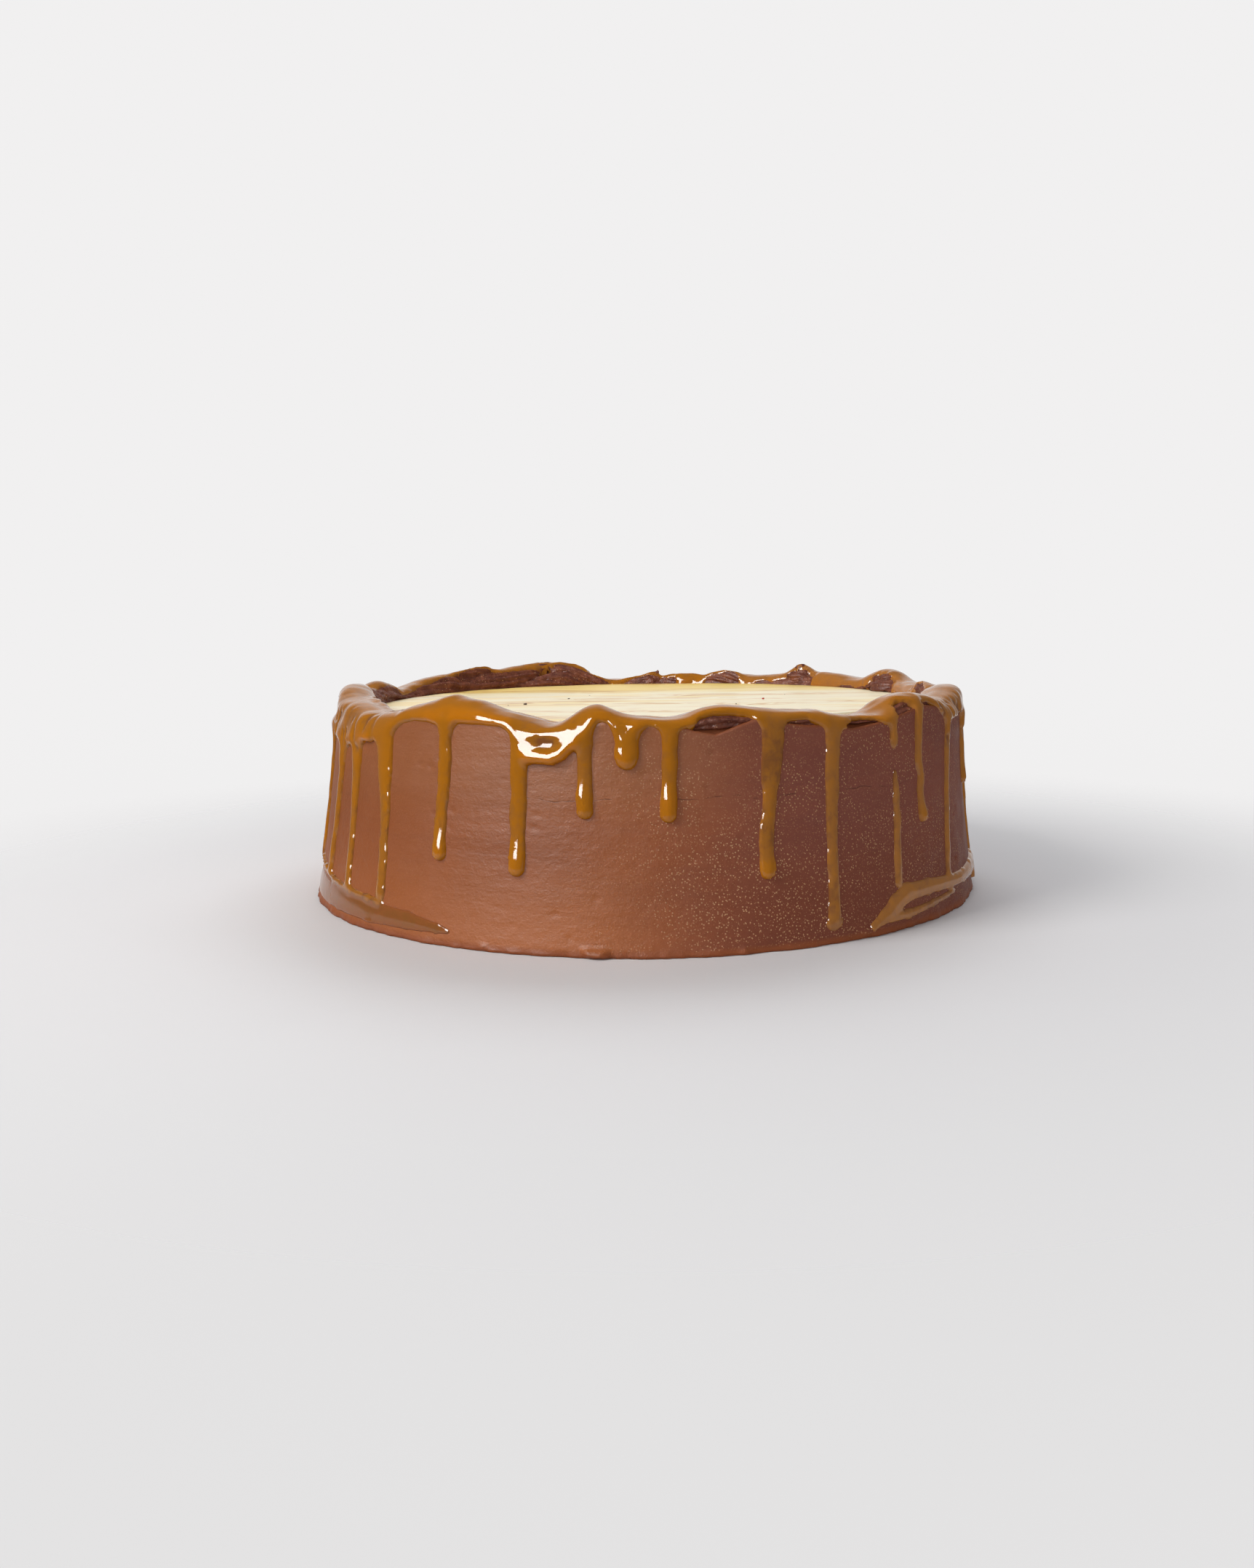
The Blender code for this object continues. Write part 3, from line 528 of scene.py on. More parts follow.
def piped_core():
    """The ring itself: ridges along it under a crest that rises and falls."""
    angles = round_angles(RING_STEPS)
    crest = round_table(angles, CREST)
    for _ in range(CREST_PASSES):
        crest = evened(crest)
    along = polar(RING_RADIUS, angles, 0.0)
    turn = full_turn(RING_SIDES)[:, None]
    drift = waves(along, 8, 0.0, (0.5, 24.0), (0.25, 9.0))
    section = ridged(turn + drift[None, :], RING_RIDGES, RIDGE_DEPTH)
    half = 0.5 * (crest - SIDE_TOP) + 0.8
    middle = crest - half
    wide = RING_HALF_WIDTH * (1.0 + 0.05 * noise(along, 13.0, 10))
    skew = SIDE_SKEW * np.exp(-((np.abs(angles) - SKEW_ANGLE) / SKEW_SPREAD) ** 2)
    out = wide * section * np.cos(turn) + skew * np.maximum(np.sin(turn), 0.0)
    rise = np.maximum(half * section * np.sin(turn), SIDE_TOP - RING_SINK - middle)
    points = polar(RING_RADIUS + out, angles, middle + rise).reshape(-1, 3)
    return points, [tuple(face) for face in grid_faces(RING_SIDES, RING_STEPS, True)]


def curve_through(knots, count):
    """Points of a smooth curve through knots, evenly spread over its parts."""
    knots = np.asarray(knots, float)
    padded = np.concatenate((2 * knots[:1] - knots[1:2], knots, 2 * knots[-1:] - knots[-2:-1]))
    place = np.linspace(0.0, len(knots) - 1.000001, count)
    index = place.astype(int)
    part = (place - index)[:, None]
    one, two, three, four = (padded[index + step] for step in range(4))
    return 0.5 * (2 * two + (three - one) * part
                  + (2 * one - 5 * two + 4 * three - four) * part ** 2
                  + (3 * two - one - 3 * three + four) * part ** 3)


def rope(spine, halves, ridges, groove, twist, seed):
    """A ridged rope of piping along a spine, rounded off at both ends."""
    count = len(spine)
    share = np.linspace(0.0, 1.0, count)
    ends = np.sqrt(np.clip(1.0 - np.abs(2.0 * share - 1.0) ** 9, 0.0, 1.0))
    halves = halves * (0.12 + 0.88 * ends)
    ahead = np.gradient(spine, axis=0)
    ahead /= np.linalg.norm(ahead, axis=1)[:, None]
    beside = np.cross(ahead, (0.0, 0.0, 1.0))
    beside /= np.linalg.norm(beside, axis=1)[:, None]
    above = np.cross(beside, ahead)
    turn = full_turn(STRAND_SIDES)
    reach = halves[:, None] * ridged(turn[None, :] + twist * share[:, None], ridges, groove)
    points = (spine[:, None, :] + beside[:, None, :] * (reach * np.cos(turn))[..., None]
              + above[:, None, :] * (reach * np.sin(turn))[..., None])
    points = points.reshape(-1, 3)
    points += 0.12 * noise(points, 2.2, seed)[:, None] * np.repeat(beside, STRAND_SIDES, axis=0)
    faces = [tuple(face) for face in grid_faces(count, STRAND_SIDES)]
    for start in (0, (count - 1) * STRAND_SIDES):
        faces.append(tuple(range(start, start + STRAND_SIDES)))
    return points, faces


def strand(number, knots):
    """One of the separate ropes."""
    knots = np.asarray(knots, float)
    knots[:, 0] = np.degrees(np.unwrap(np.radians(knots[:, 0])))
    line = curve_through(knots, STRAND_STEPS)
    spine = polar(line[:, 1], upright(line[:, 0], line[:, 2]), line[:, 2])
    return rope(spine, line[:, 3], STRAND_RIDGES, STRAND_GROOVE, STRAND_TWIST, 40 + number)


def rosette(number, angle, radius, foot, height, reach, turns):
    """A rope wound inwards and up to a tip."""
    share = np.linspace(0.0, 1.0, 2 * STRAND_STEPS)
    spin = 2.0 * math.pi * turns * share + 1.1 * number
    wide = reach * (1.0 - share) ** 0.85
    rise = 1.8 + height * share ** 1.1
    spine = np.stack((wide * np.cos(spin), wide * np.sin(spin), rise), axis=-1)
    spine = polar(radius, upright(angle, foot), foot) + spine
    halves = 3.3 - 1.7 * share
    return rope(spine, halves, ROSETTE_RIDGES, ROSETTE_GROOVE, ROSETTE_TWIST, 70 + number)


def piping():
    """The whole ring of piping as one skin, with fine tears in it."""
    parts = [piped_core()]
    parts += [strand(number, knots) for number, knots in enumerate(STRANDS)]
    parts += [rosette(number, *sizes) for number, sizes in enumerate(ROSETTES)]
    start = 0
    faces = []
    for part_points, part_faces in parts:
        faces.extend(tuple(index + start for index in face) for face in part_faces)
        start += len(part_points)
    mesh = bpy.data.meshes.new("piping")
    mesh.from_pydata((np.concatenate([part[0] for part in parts]) * MM).tolist(), [], faces)
    face_out(mesh)
    item = placed("piping", mesh)
    remesh = item.modifiers.new("skin", "REMESH")
    remesh.mode = "VOXEL"
    remesh.voxel_size = PIPING_VOXEL * MM
    remesh.use_smooth_shade = True
    graph = bpy.context.evaluated_depsgraph_get()
    mesh = bpy.data.meshes.new_from_object(item.evaluated_get(graph))
    item.modifiers.clear()
    item.data = mesh
    keep_largest(mesh)
    points = mesh_points(item)
    torn = 1.0 - np.abs(noise(points, (3.4, 3.4, 1.7), 15)) * 2.0
    grain = waves(points, 12, 0.0, (0.16, 2.4), (0.14, 1.1)) + 0.16 * torn
    move_points(item, points + read_rows(mesh.vertex_normals, "vector") * grain[:, None])
    mesh.shade_smooth()
    return item


def keep_largest(mesh):
    """Drop all but the largest connected body of a mesh."""
    with opened(mesh) as shape:
        left = set(shape.verts)
        bodies = []
        while left:
            found = [left.pop()]
            for corner in found:
                for edge in corner.link_edges:
                    other = edge.other_vert(corner)
                    if other in left:
                        left.remove(other)
                        found.append(other)
            bodies.append(found)
        bodies.sort(key=len)
        for body in bodies[:-1]:
            bmesh.ops.delete(shape, geom=body, context="VERTS")


# ---- caramel


def side_path(height):
    """Length along the caramel's paths to a height on the outside."""
    height = np.asarray(height, float)
    over = np.clip(height - SIDE_TOP, 0.0, 12.0)
    radius = SIDE_TOP_RADIUS - 0.055 * over ** 2
    ring = PIVOT_REACH * np.arctan2(radius - PIVOT_RADIUS, height - PIVOT_HEIGHT)
    return np.where(height <= PIVOT_HEIGHT, WALL_FROM + PIVOT_HEIGHT - height, ring)


def inner_path(height):
    """Length along the paths to a height on the ring's inner face."""
    inward = 5.5 - 0.42 * (np.asarray(height, float) - DISC_TOP)
    return -PIVOT_REACH * np.arctan2(inward, height - PIVOT_HEIGHT)


def tilt_and_drop(paths):
    """The slope of the rays that paths stand for, and how far down the side they are."""
    return np.minimum(paths / PIVOT_REACH, 0.5 * math.pi), np.maximum(paths - WALL_FROM, 0.0)


def blurred(field, passes):
    """A field on the grid, smoothed by repeated weighted means."""
    for _ in range(passes):
        field = evened(field)
        padded = np.pad(field, ((0, 0), (1, 1)), mode="edge")
        field = 0.25 * (padded[:, :-2] + padded[:, 2:]) + 0.5 * field
    return field


class Sauce:
    """Caramel as a depth over the ring and the side, on a grid of angle by path."""

    def __init__(self):
        columns = int(2.0 * math.pi * SIDE_MEAN_RADIUS / CELL)
        path_to = float(side_path(FOOT_CLEARANCE))
        self.angles = round_angles(columns)[:, None]
        self.paths = np.linspace(PATH_FROM, path_to, int((path_to - PATH_FROM) / CELL))[None, :]
        self.shape = (columns, self.paths.shape[1])
        self.inside = np.full(self.shape, NOWHERE)
        self.bead = np.full(self.shape, COVER_BEAD)
        self.depth = np.full(self.shape, COVER_DEPTH)

    def add(self, inside, bead, depth, fillet):
        """Join a shape to the sauce with a fillet."""
        share = np.clip(0.5 + 0.5 * (inside - self.inside) / fillet, 0.0, 1.0)
        rest = 1.0 - share
        self.inside = self.inside * rest + inside * share + fillet * share * rest
        self.bead = self.bead * rest + bead * share
        self.depth = self.depth * rest + depth * share

    def cover(self):
        """The coat over the ring, thicker along its lower edge."""
        angles = self.angles[:, 0]
        places = polar(SIDE_MEAN_RADIUS, angles, 0.0)
        wave = EDGE_WAVE * waves(places, 21, 0.0, (1.0, 9.0), (0.5, 4.0))
        shown = (angles > COVER_EDGE[0][0]) & (angles < COVER_EDGE[-1][0])
        back = waves(places, 23, BACK_EDGE_HEIGHT, (1.3, 17.0)) + wave
        height = np.where(shown, round_table(angles, COVER_EDGE) + 0.4 * wave, back)
        lower = side_path(height)[:, None]
        inner = inner_path(round_table(angles, INNER_EDGE) + wave)[:, None]
        inner = np.minimum(inner, 3.0)
        inside = np.minimum(self.paths - inner, lower - self.paths)
        extra = np.interp(self.angles, *zip(*GATHER))
        gathered = extra * np.exp(-((lower - self.paths) / EDGE_REACH) ** 2)
        self.add(inside, COVER_BEAD, COVER_DEPTH + gathered, 0.01)

    def drip(self, number, knots):
        """One drip, from inside the cover down to its round end."""
        heights, angles, halves, depths = np.array(knots, float).T
        paths = side_path(heights)
        line = self.paths[0]
        where = np.stack((line, np.full_like(line, 9.1 * number), np.zeros_like(line)), -1)
        centre = np.interp(line, paths, angles) + 0.12 * noise(where, 6.0, 24)
        half = np.interp(line, paths, halves) * waves(where, 25, 1.0, (DRIP_WOBBLE, 3.2))
        depth = np.interp(line, paths, depths)
        end = paths[-1] - halves[-1]
        half = np.where(line > end, halves[-1], half)
        past = np.maximum(line - end, 0.0) + np.maximum(paths[0] - line, 0.0)
        inside = half - np.hypot(arc(self.angles, centre), past)
        self.add(inside, np.maximum(half, 0.6), depth, FILLET)

    def run(self, knots, fillet):
        """Sauce that lies along a chain of knots at the foot."""
        angles, heights, halves, depths = np.array(knots, float).T
        angles = upright(angles, heights)
        paths = side_path(heights)
        for first, after in itertools.pairwise(range(len(angles))):
            turn = np.radians(angles[after] - angles[first]) * SIDE_MEAN_RADIUS
            course = np.array((turn, paths[after] - paths[first]))
            across = arc(self.angles, angles[first])
            down = self.paths - paths[first]
            share = (across * course[0] + down * course[1]) / float(course @ course)
            share = np.clip(share, 0.0, 1.0)
            half = halves[first] + (halves[after] - halves[first]) * share
            depth = depths[first] + (depths[after] - depths[first]) * share
            far = np.hypot(across - course[0] * share, down - course[1] * share)
            self.add(half - far, half, depth, fillet)

    def true_distance(self):
        """Make the distance in from the edge even, where edges are steep."""
        wide = np.radians(360.0 / self.shape[0]) * SIDE_MEAN_RADIUS
        padded = np.concatenate((self.inside[-1:], self.inside, self.inside[:1]))
        self.slope_angle = (padded[2:] - padded[:-2]) / (2.0 * wide)
        self.slope_path = np.gradient(self.inside, self.paths[0, 1] - self.paths[0, 0], axis=1)
        steep = np.clip(np.hypot(self.slope_angle, self.slope_path), 0.8, 6.0)
        self.slope_angle /= steep
        self.slope_path /= steep
        self.inside = self.inside / steep

    def reach_down(self, trees):
        """The ring's and the side's surface under every point of the grid."""
        ground = np.zeros(self.shape)
        tilt, drop = tilt_and_drop(self.paths[0])
        wall = drop > 0.0
        angles, heights = np.broadcast_arrays(self.angles, PIVOT_HEIGHT - drop[wall])
        ground[:, wall] = side_radius(heights) + side_relief(angles, heights) - PIVOT_RADIUS
        for row in np.nonzero(~wall)[0]:
            for column in range(self.shape[0]):
                turn = math.radians(self.angles[column, 0])
                flat = Vector((math.sin(turn), -math.cos(turn), 0.0))
                ray = flat * math.sin(tilt[row]) + Vector((0.0, 0.0, math.cos(tilt[row])))
                pivot = flat * PIVOT_RADIUS + Vector((0.0, 0.0, PIVOT_HEIGHT))
                start = (pivot + ray * RAY_LENGTH) * MM
                for tree in trees:
                    far = tree.ray_cast(start, -ray, RAY_LENGTH * MM)[3]
                    if far is not None:
                        reach = RAY_LENGTH - far / MM
                        ground[column, row] = max(ground[column, row], reach)
        return ground

    def lumpy_depth(self):
        """The sauce's depth with its lumps, dimples, hollows and swells."""
        places = polar(SIDE_MEAN_RADIUS, self.angles, -self.paths)
        beside = smooth((np.abs(self.angles) - 46.0) / 10.0) * smooth((30.0 - self.paths) / 8.0)
        beside = beside * smooth((self.paths - 8.0) / 5.0)
        dimples = smooth((noise(places, (2.2, 2.2, 5.0), 28) - 0.1) / 0.4)
        lumps = waves(places, 26, 1.0, (0.16, 7.0), (0.07, 3.0))
        lumps = lumps + beside * (0.30 * noise(places, (5.5, 5.5, 7.0), 29) - 0.75 * dimples)
        deep = blurred(self.depth, 6) * lumps
        for angle, height, wide, high, change in HOLLOWS:
            across = arc(self.angles, upright(angle, height)) / wide
            down = (self.paths - side_path(height)) / high
            deep = deep + change * np.exp(-across * across - down * down)
        return np.maximum(deep, THINNEST)

    def surface(self, ground):
        """Reach of the sauce's top and of its hidden underside."""
        bead = np.clip(self.inside / self.bead, 0.0, 1.0)
        round_off = np.sqrt(1.0 - (1.0 - bead) ** 2)
        deep = self.lumpy_depth()
        depth = deep * round_off
        settle = smooth(self.inside / 1.8)
        base = ground * (1.0 - settle) + blurred(ground, 16) * settle
        top = np.maximum(base + depth, ground + np.minimum(depth, 0.35))
        calm = smooth((self.inside - 0.5) / 0.8)
        top = top * (1.0 - calm) + blurred(top, 3) * calm
        sunk = np.clip(-1.6 * self.inside, 0.0, 0.9)
        top = np.where(self.inside > 0.0, top, ground - sunk)
        self.thickness = deep * (0.72 + 0.28 * round_off)
        return top, ground - UNDERSIDE

    def object(self, trees):
        """The sauce as a closed mesh that reaches into what it lies on."""
        self.true_distance()
        ground = self.reach_down(trees)
        near = np.abs(self.inside) < 0.5 * CELL
        snap = np.where(near, -self.inside, 0.0)
        angles = self.angles + np.degrees(snap * self.slope_angle / SIDE_MEAN_RADIUS)
        tilt, drop = tilt_and_drop(self.paths + snap * self.slope_path)
        self.inside = np.where(near, 0.0, self.inside)
        layers = [polar(PIVOT_RADIUS + reach * np.sin(tilt), angles,
                        PIVOT_HEIGHT - drop + reach * np.cos(tilt)).reshape(-1, 3)
                  for reach in self.surface(ground)]
        return self.shell(layers)

    def shell(self, layers):
        """Faces of both layers where there is sauce, and the wall between them."""
        corners = grid_faces(*self.shape, True, False)[:, (0, 3, 2, 1)]  # turned to face out
        kept = corners[(self.inside.ravel()[corners] > 0.0).any(axis=-1)]
        used, renamed = np.unique(kept, return_inverse=True)
        upper = renamed.reshape(-1, 4)
        lower = upper[:, ::-1] + len(used)
        sides = np.concatenate([upper[:, [side, (side + 1) % 4]] for side in range(4)])
        keys = np.sort(sides, axis=1)
        _, index, count = np.unique(keys, axis=0, return_index=True, return_counts=True)
        rim = sides[index[count == 1]]
        wall = np.concatenate((rim[:, ::-1], rim + len(used)), axis=1)
        points = np.concatenate([layer[used] for layer in layers])
        item = new_object("caramel", points, np.concatenate((upper, lower, wall)))
        face_out(item.data)
        store(item, "depth", np.tile(self.thickness.ravel()[used], 2))
        return item


def back_drips():
    """The hidden side's drips as knots like those of the shown ones."""
    draw = random.Random(7)
    pitch = (BACK_TO - BACK_FROM) / BACK_DRIPS
    found = []
    for number in range(BACK_DRIPS):
        angle = BACK_FROM + pitch * (number + 0.5 + draw.uniform(-0.2, 0.2))
        end = draw.choice(BACK_ENDS) + draw.uniform(-4.0, 4.0)
        drift = draw.uniform(-0.8, 0.8)
        half = 0.5 * draw.uniform(4.8, 7.2)
        tip = 0.5 * draw.uniform(4.4, 5.4)
        found.append(((75.0, angle, half + 0.6, 1.9), (68.0, angle, half, 1.6),
                      (0.5 * (68.0 + end), angle + 0.5 * drift, 0.5 * (half + tip) - 0.3, 1.3),
                      (end + 7.0, angle + drift, tip - 0.2, 1.6),
                      (end, angle + drift, tip, 2.3)))
    return found


def caramel(under):
    """All the caramel, poured over the objects under it."""
    graph = bpy.context.evaluated_depsgraph_get()
    trees = [BVHTree.FromObject(item, graph) for item in under]
    sauce = Sauce()
    sauce.cover()
    shown = [[(height, upright(angle, height), half, depth)
              for height, angle, half, depth in knots] for knots in DRIPS]
    for number, knots in enumerate(shown + back_drips()):
        sauce.drip(number, knots)
    for knots in RUNS:
        sauce.run(knots, RUN_FILLET)
    sauce.run(STAIN, 1.0)
    return sauce.object(trees)


# ---- cream and crumbs

DISC_RINGS = 60
DISC_COLUMNS = 300
DISC_OVERLAP = 1.5  # how far the disc reaches under the piping
# crumbs on the cream: place to the right, place to the back, size
CRUMBS = (
    (-45.7, -20.9, 0.65), (-30.3, 14, 0.34), (-22.2, 33.5, 0.34), (-7.4, 65.5, 0.4), (35.2, -34.5, 0.3),
    (-52, -24.5, 0.25), (61, 22, 0.25), (-88, -14, 0.5),
)
RED_CRUMB = (48.8, -5, 0.5)


def cream():
    """The cream disc: a soft-edged, slightly uneven plate."""
    angles = np.arange(DISC_COLUMNS) * 360.0 / DISC_COLUMNS
    rows = []
    for share in np.linspace(0.02, 1.0, DISC_RINGS):
        radius = (DISC_RADIUS + DISC_OVERLAP) * share
        places = polar(radius, angles, 0.0)
        swell = 1.7 * smooth(places[:, 1] / radius) * share ** 2
        height = waves(places, 14, DISC_TOP - 0.08 + swell, (0.09, (30.0, 9.0, 1.0)))
        rows.append(polar(radius, angles, height))
    for radius in (DISC_RADIUS + DISC_OVERLAP, 2.0):
        rows.append(polar(radius, angles, SIDE_TOP - 0.4))
    return capped_grid("cream", rows)


def crumb(shape, centre, size, seed):
    """One torn crumb: a ball pushed in and out."""
    made = bmesh.ops.create_icosphere(shape, subdivisions=2, radius=1.0)["verts"]
    points = np.array([vert.co for vert in made])
    lumps = 1.0 + 0.45 * noise(points + 9.7 * seed, 0.8, 50 + seed)
    squat = np.array((1.0 + 0.3 * math.sin(seed), 0.8, 0.6))
    for vert, place in zip(made, points * lumps[:, None] * squat * size + centre):
        vert.co = Vector(place) * MM


def crumbs(name, places):
    """Crumbs that lie on the cream."""
    mesh = bpy.data.meshes.new(name)
    with opened(mesh) as shape:
        for number, (across, back, size) in enumerate(places):
            centre = np.array((across - LEAN * DISC_TOP, back, DISC_TOP + 0.35 * size))
            crumb(shape, centre, size, number)
    mesh.shade_smooth()
    return placed(name, mesh)


# ---- materials


def paint(red, green, blue):
    """A photograph's colour of 0 to 255 as the linear one that shaders take."""
    parts = [part / 255.0 for part in (red, green, blue)]
    line = [part / 12.92 if part < 0.0405 else ((part + 0.055) / 1.055) ** 2.4 for part in parts]
    return (*line, 1.0)


class Nodes:
    """A tree of shader nodes, with short ways to add to it."""

    def __init__(self, tree):
        self.tree = tree

    def node(self, kind, sockets, **settings):
        """A new node, with its settings made and its sockets set or linked."""
        item = self.tree.nodes.new("ShaderNode" + kind)
        for name, value in settings.items():
            setattr(item, name, value)
        for key, value in sockets.items():
            if isinstance(value, bpy.types.NodeSocket):
                self.tree.links.new(value, item.inputs[key])
            else:
                item.inputs[key].default_value = value
        return item

    def math(self, operation, *values):
        """A sum on numbers or sockets."""
        return self.node("Math", dict(enumerate(values)), operation=operation).outputs[0]

    def times(self, one, two):
        """The product of two shares."""
        return self.math("MULTIPLY", one, two)

    def step(self, value, low, high, start=0.0, end=1.0):
        """Smoothly from start at low to end at high."""
        sockets = {"Value": value, "From Min": low, "From Max": high, "To Min": start,
                   "To Max": end}
        return self.node("MapRange", sockets, interpolation_type="SMOOTHSTEP").outputs[0]

    def axes(self, vector):
        """The X, Y and Z of a vector."""
        return self.node("SeparateXYZ", {0: vector}).outputs


class Look(Nodes):
    """A material that works on places in millimetres, built up from a base colour."""

    def __init__(self, name, **constants):
        self.material = bpy.data.materials.new(name)
        self.material.use_nodes = True
        super().__init__(self.material.node_tree)
        self.shader = self.tree.nodes["Principled BSDF"]
        for socket, value in constants.items():
            self.shader.inputs[socket.replace("_", " ")].default_value = value
        where = self.node("TexCoord", {}).outputs["Object"]
        self.place = self.node("VectorMath", {0: where, "Scale": 1.0 / MM},
                               operation="SCALE").outputs[0]
        self.colour = None
        self.relief = None

    def noise(self, size, detail=2.0, roughness=0.5, twist=0.0):
        """Noise of 0 to 1 whose lumps are about as large as size."""
        size = size if isinstance(size, tuple) else (size, size, size)
        where = self.node("VectorMath", {0: self.place, 1: size}, operation="DIVIDE").outputs[0]
        return self.node("TexNoise", {"Vector": where, "Scale": 1.0, "Detail": detail,
                                      "Roughness": roughness, "Distortion": twist}).outputs[0]

    def dots(self, spacing, radius, soft):
        """1 inside round dots of up to that radius and 0 between them."""
        cells = self.node("TexVoronoi", {"Vector": self.place, "Scale": 1.0 / spacing})
        away = self.times(cells.outputs["Distance"], spacing)
        return self.step(away, radius + soft, radius)

    def attribute(self, name):
        """A number stored on the mesh."""
        return self.node("Attribute", {}, attribute_name=name).outputs["Fac"]

    def base(self, share, one, two):
        """Start with one colour going over into another."""
        self.colour = paint(*one)
        self.tint(share, two)

    def tint(self, share, tone):
        """Lay a colour over what there is, by a share."""
        self.colour = self.node("Mix", {0: share, 6: self.colour, 7: paint(*tone)},
                                data_type="RGBA").outputs[2]

    def bump(self, height, depth):
        """Relief of a depth in millimetres, on top of what there is."""
        below = {} if self.relief is None else {"Normal": self.relief}
        self.relief = self.node("Bump", {"Strength": 1.0, "Distance": depth * MM,
                                         "Height": height, **below}).outputs[0]

    def finish(self, roughness):
        """Join what was made to the shader."""
        for name, made in (("Base Color", self.colour), ("Roughness", roughness),
                           ("Normal", self.relief)):
            self.tree.links.new(made, self.shader.inputs[name])
        return self.material


def frosting_look():
    """Scraped chocolate buttercream: clouds, streaks, pale fat dots and a crack, with painted light and
    shade.
    """
    look = Look("frosting", Specular_IOR_Level=0.2)
    across, back, height = look.axes(look.place)
    look.base(look.step(look.noise((60.0, 60.0, 26.0)), 0.34, 0.66), (136, 73, 35), (149, 82, 41))
    streaks = look.noise((44.0, 44.0, 2.6), 3.0, 0.6)
    look.tint(look.step(streaks, 0.42, 0.78, 0.0, 0.2), (112, 62, 40))
    look.tint(look.step(look.noise(1.1), 0.35, 0.75, 0.0, 0.16), (156, 98, 66))
    # painted light, lighter and warmer on the left and in front: a painted warm bounce low down, and a
    # painted sheen high up
    low = look.times(look.step(height, 34.0, 4.0, 0.0, 0.6), look.step(across, 25.0, -45.0))
    look.tint(low, (178, 103, 50))
    # painted sheen, high up on the left and in the middle
    high = look.times(look.step(height, 36.0, 58.0, 0.0, 0.45), look.step(across, 40.0, 5.0))
    look.tint(high, (166, 108, 70))
    # painted shade: darker round both sides, bluish on the right, and darkest low on the right
    look.tint(look.step(across, -20.0, -90.0, 0.0, 0.4), (126, 68, 32))
    # painted bluish shade on the right side
    look.tint(look.step(across, -20.0, 60.0, 0.0, 0.45), (122, 74, 80))
    painted_low_shade = look.times(look.step(height, 48.0, 8.0, 0.0, 0.6), look.step(across, -5.0, 45.0))
    look.tint(painted_low_shade, (108, 52, 28))
    # pale dots, thickest towards the right
    patches = look.step(look.noise((22.0, 22.0, 16.0), 3.0, 0.6), 0.36, 0.58, 0.15, 1.0)
    right = look.step(across, -34.0, 30.0, 0.10, 1.0)
    dotted = look.times(look.dots(0.95, 0.16, 0.14), look.times(patches, right))
    fine = look.times(look.dots(0.8, 0.09, 0.13), right)
    look.tint(look.times(fine, 0.5), (176, 124, 84))
    look.tint(look.times(dotted, 0.8), (202, 154, 110))
    # a thin broken crack round the front, under half height
    level = look.math("MULTIPLY_ADD", look.noise((13.0, 13.0, 60.0), 3.0), 5.0, 45.6)
    away = look.math("ABSOLUTE", look.math("SUBTRACT", height, level))
    broken = look.step(look.noise((7.0, 7.0, 30.0)), 0.47, 0.60)
    reach = look.times(look.step(across, -42.0, -34.0), look.step(across, 92.0, 76.0))
    line = look.times(look.times(look.step(away, 0.22, 0.06), broken),
                      look.times(reach, look.step(back, 0.0, -20.0)))
    look.tint(look.times(line, 0.55), (74, 40, 28))
    # thin frosting at the scraped top edge and the squeezed foot looks redder
    look.tint(look.attribute("edge"), (138, 74, 40))
    look.bump(look.noise((9.0, 9.0, 2.4), 3.0, 0.6), 0.16)
    look.bump(look.noise(2.2, 3.0, 0.6), 0.17)
    look.bump(look.noise(0.7), 0.08)
    look.bump(look.math("SUBTRACT", dotted, line), 0.08)
    return look.finish(look.step(look.noise(9.0), 0.3, 0.7, 0.44, 0.56))


def piping_look():
    """Darker piped chocolate, satin, with bright specks on its ridges, partly fat grains and partly
    painted glints.
    """
    look = Look("piping", Specular_IOR_Level=0.28)
    look.base(look.step(look.noise(5.0, 3.0), 0.35, 0.65), (98, 50, 36), (124, 70, 50))
    look.tint(look.step(look.noise(0.9), 0.55, 0.75, 0.0, 0.35), (160, 104, 74))
    # pale specks: partly fat grains, partly painted glints
    grains_and_glints = look.times(look.dots(1.2, 0.13, 0.10), look.step(look.noise(6.0), 0.4, 0.6))
    look.tint(grains_and_glints, (222, 176, 132))
    look.bump(look.noise(1.8, 3.0, 0.6), 0.40)
    look.bump(look.noise(0.55), 0.18)
    return look.finish(look.step(look.noise(1.3), 0.4, 0.7, 0.55, 0.34))


# the caramel's colour from thin to thick: a depth, a greater depth, the colour there
CARAMEL_TONES = ((0.36, 0.55, (130, 80, 36)), (0.5, 0.95, (156, 98, 30)),
                 (0.9, 1.5, (169, 104, 10)), (1.6, 2.8, (190, 113, 2)))


def caramel_look():
    """Glossy caramel: amber where it is thick, brown and mottled where thin, with a painted pale
    reflection on thin sauce towards the right.
    """
    look = Look("caramel", Specular_IOR_Level=0.5, IOR=1.48)
    patches = look.noise((2.6, 2.6, 3.4), 2.0, 0.5, 0.4)
    fine = look.noise(0.9)
    depth = look.attribute("depth")
    thin = look.times(look.step(depth, 2.2, 1.0, 0.25, 1.0), look.step(depth, 0.4, 0.8))
    mottled = look.math("MULTIPLY_ADD", look.math("MULTIPLY_ADD", patches, 1.5, -0.75), thin, depth)
    look.colour = paint(142, 80, 40)
    for low, high, tone in CARAMEL_TONES:
        look.tint(look.step(mottled, low, high), tone)
    # painted reflection: thin sauce paler and milkier towards the right
    right = look.step(look.axes(look.place)["X"], 20.0, 85.0, 0.0, 0.4)
    look.tint(look.times(right, thin), (182, 124, 72))
    look.tint(look.times(look.step(fine, 0.55, 0.8, 0.0, 0.25), thin), (172, 116, 56))
    look.bump(look.noise(5.0, 1.0), 0.06)
    look.bump(fine, 0.02)
    dull = look.step(depth, 0.42, 0.34, 0.0, 0.4)
    return look.finish(look.math("ADD", look.step(patches, 0.3, 0.7, 0.04, 0.09), dull))


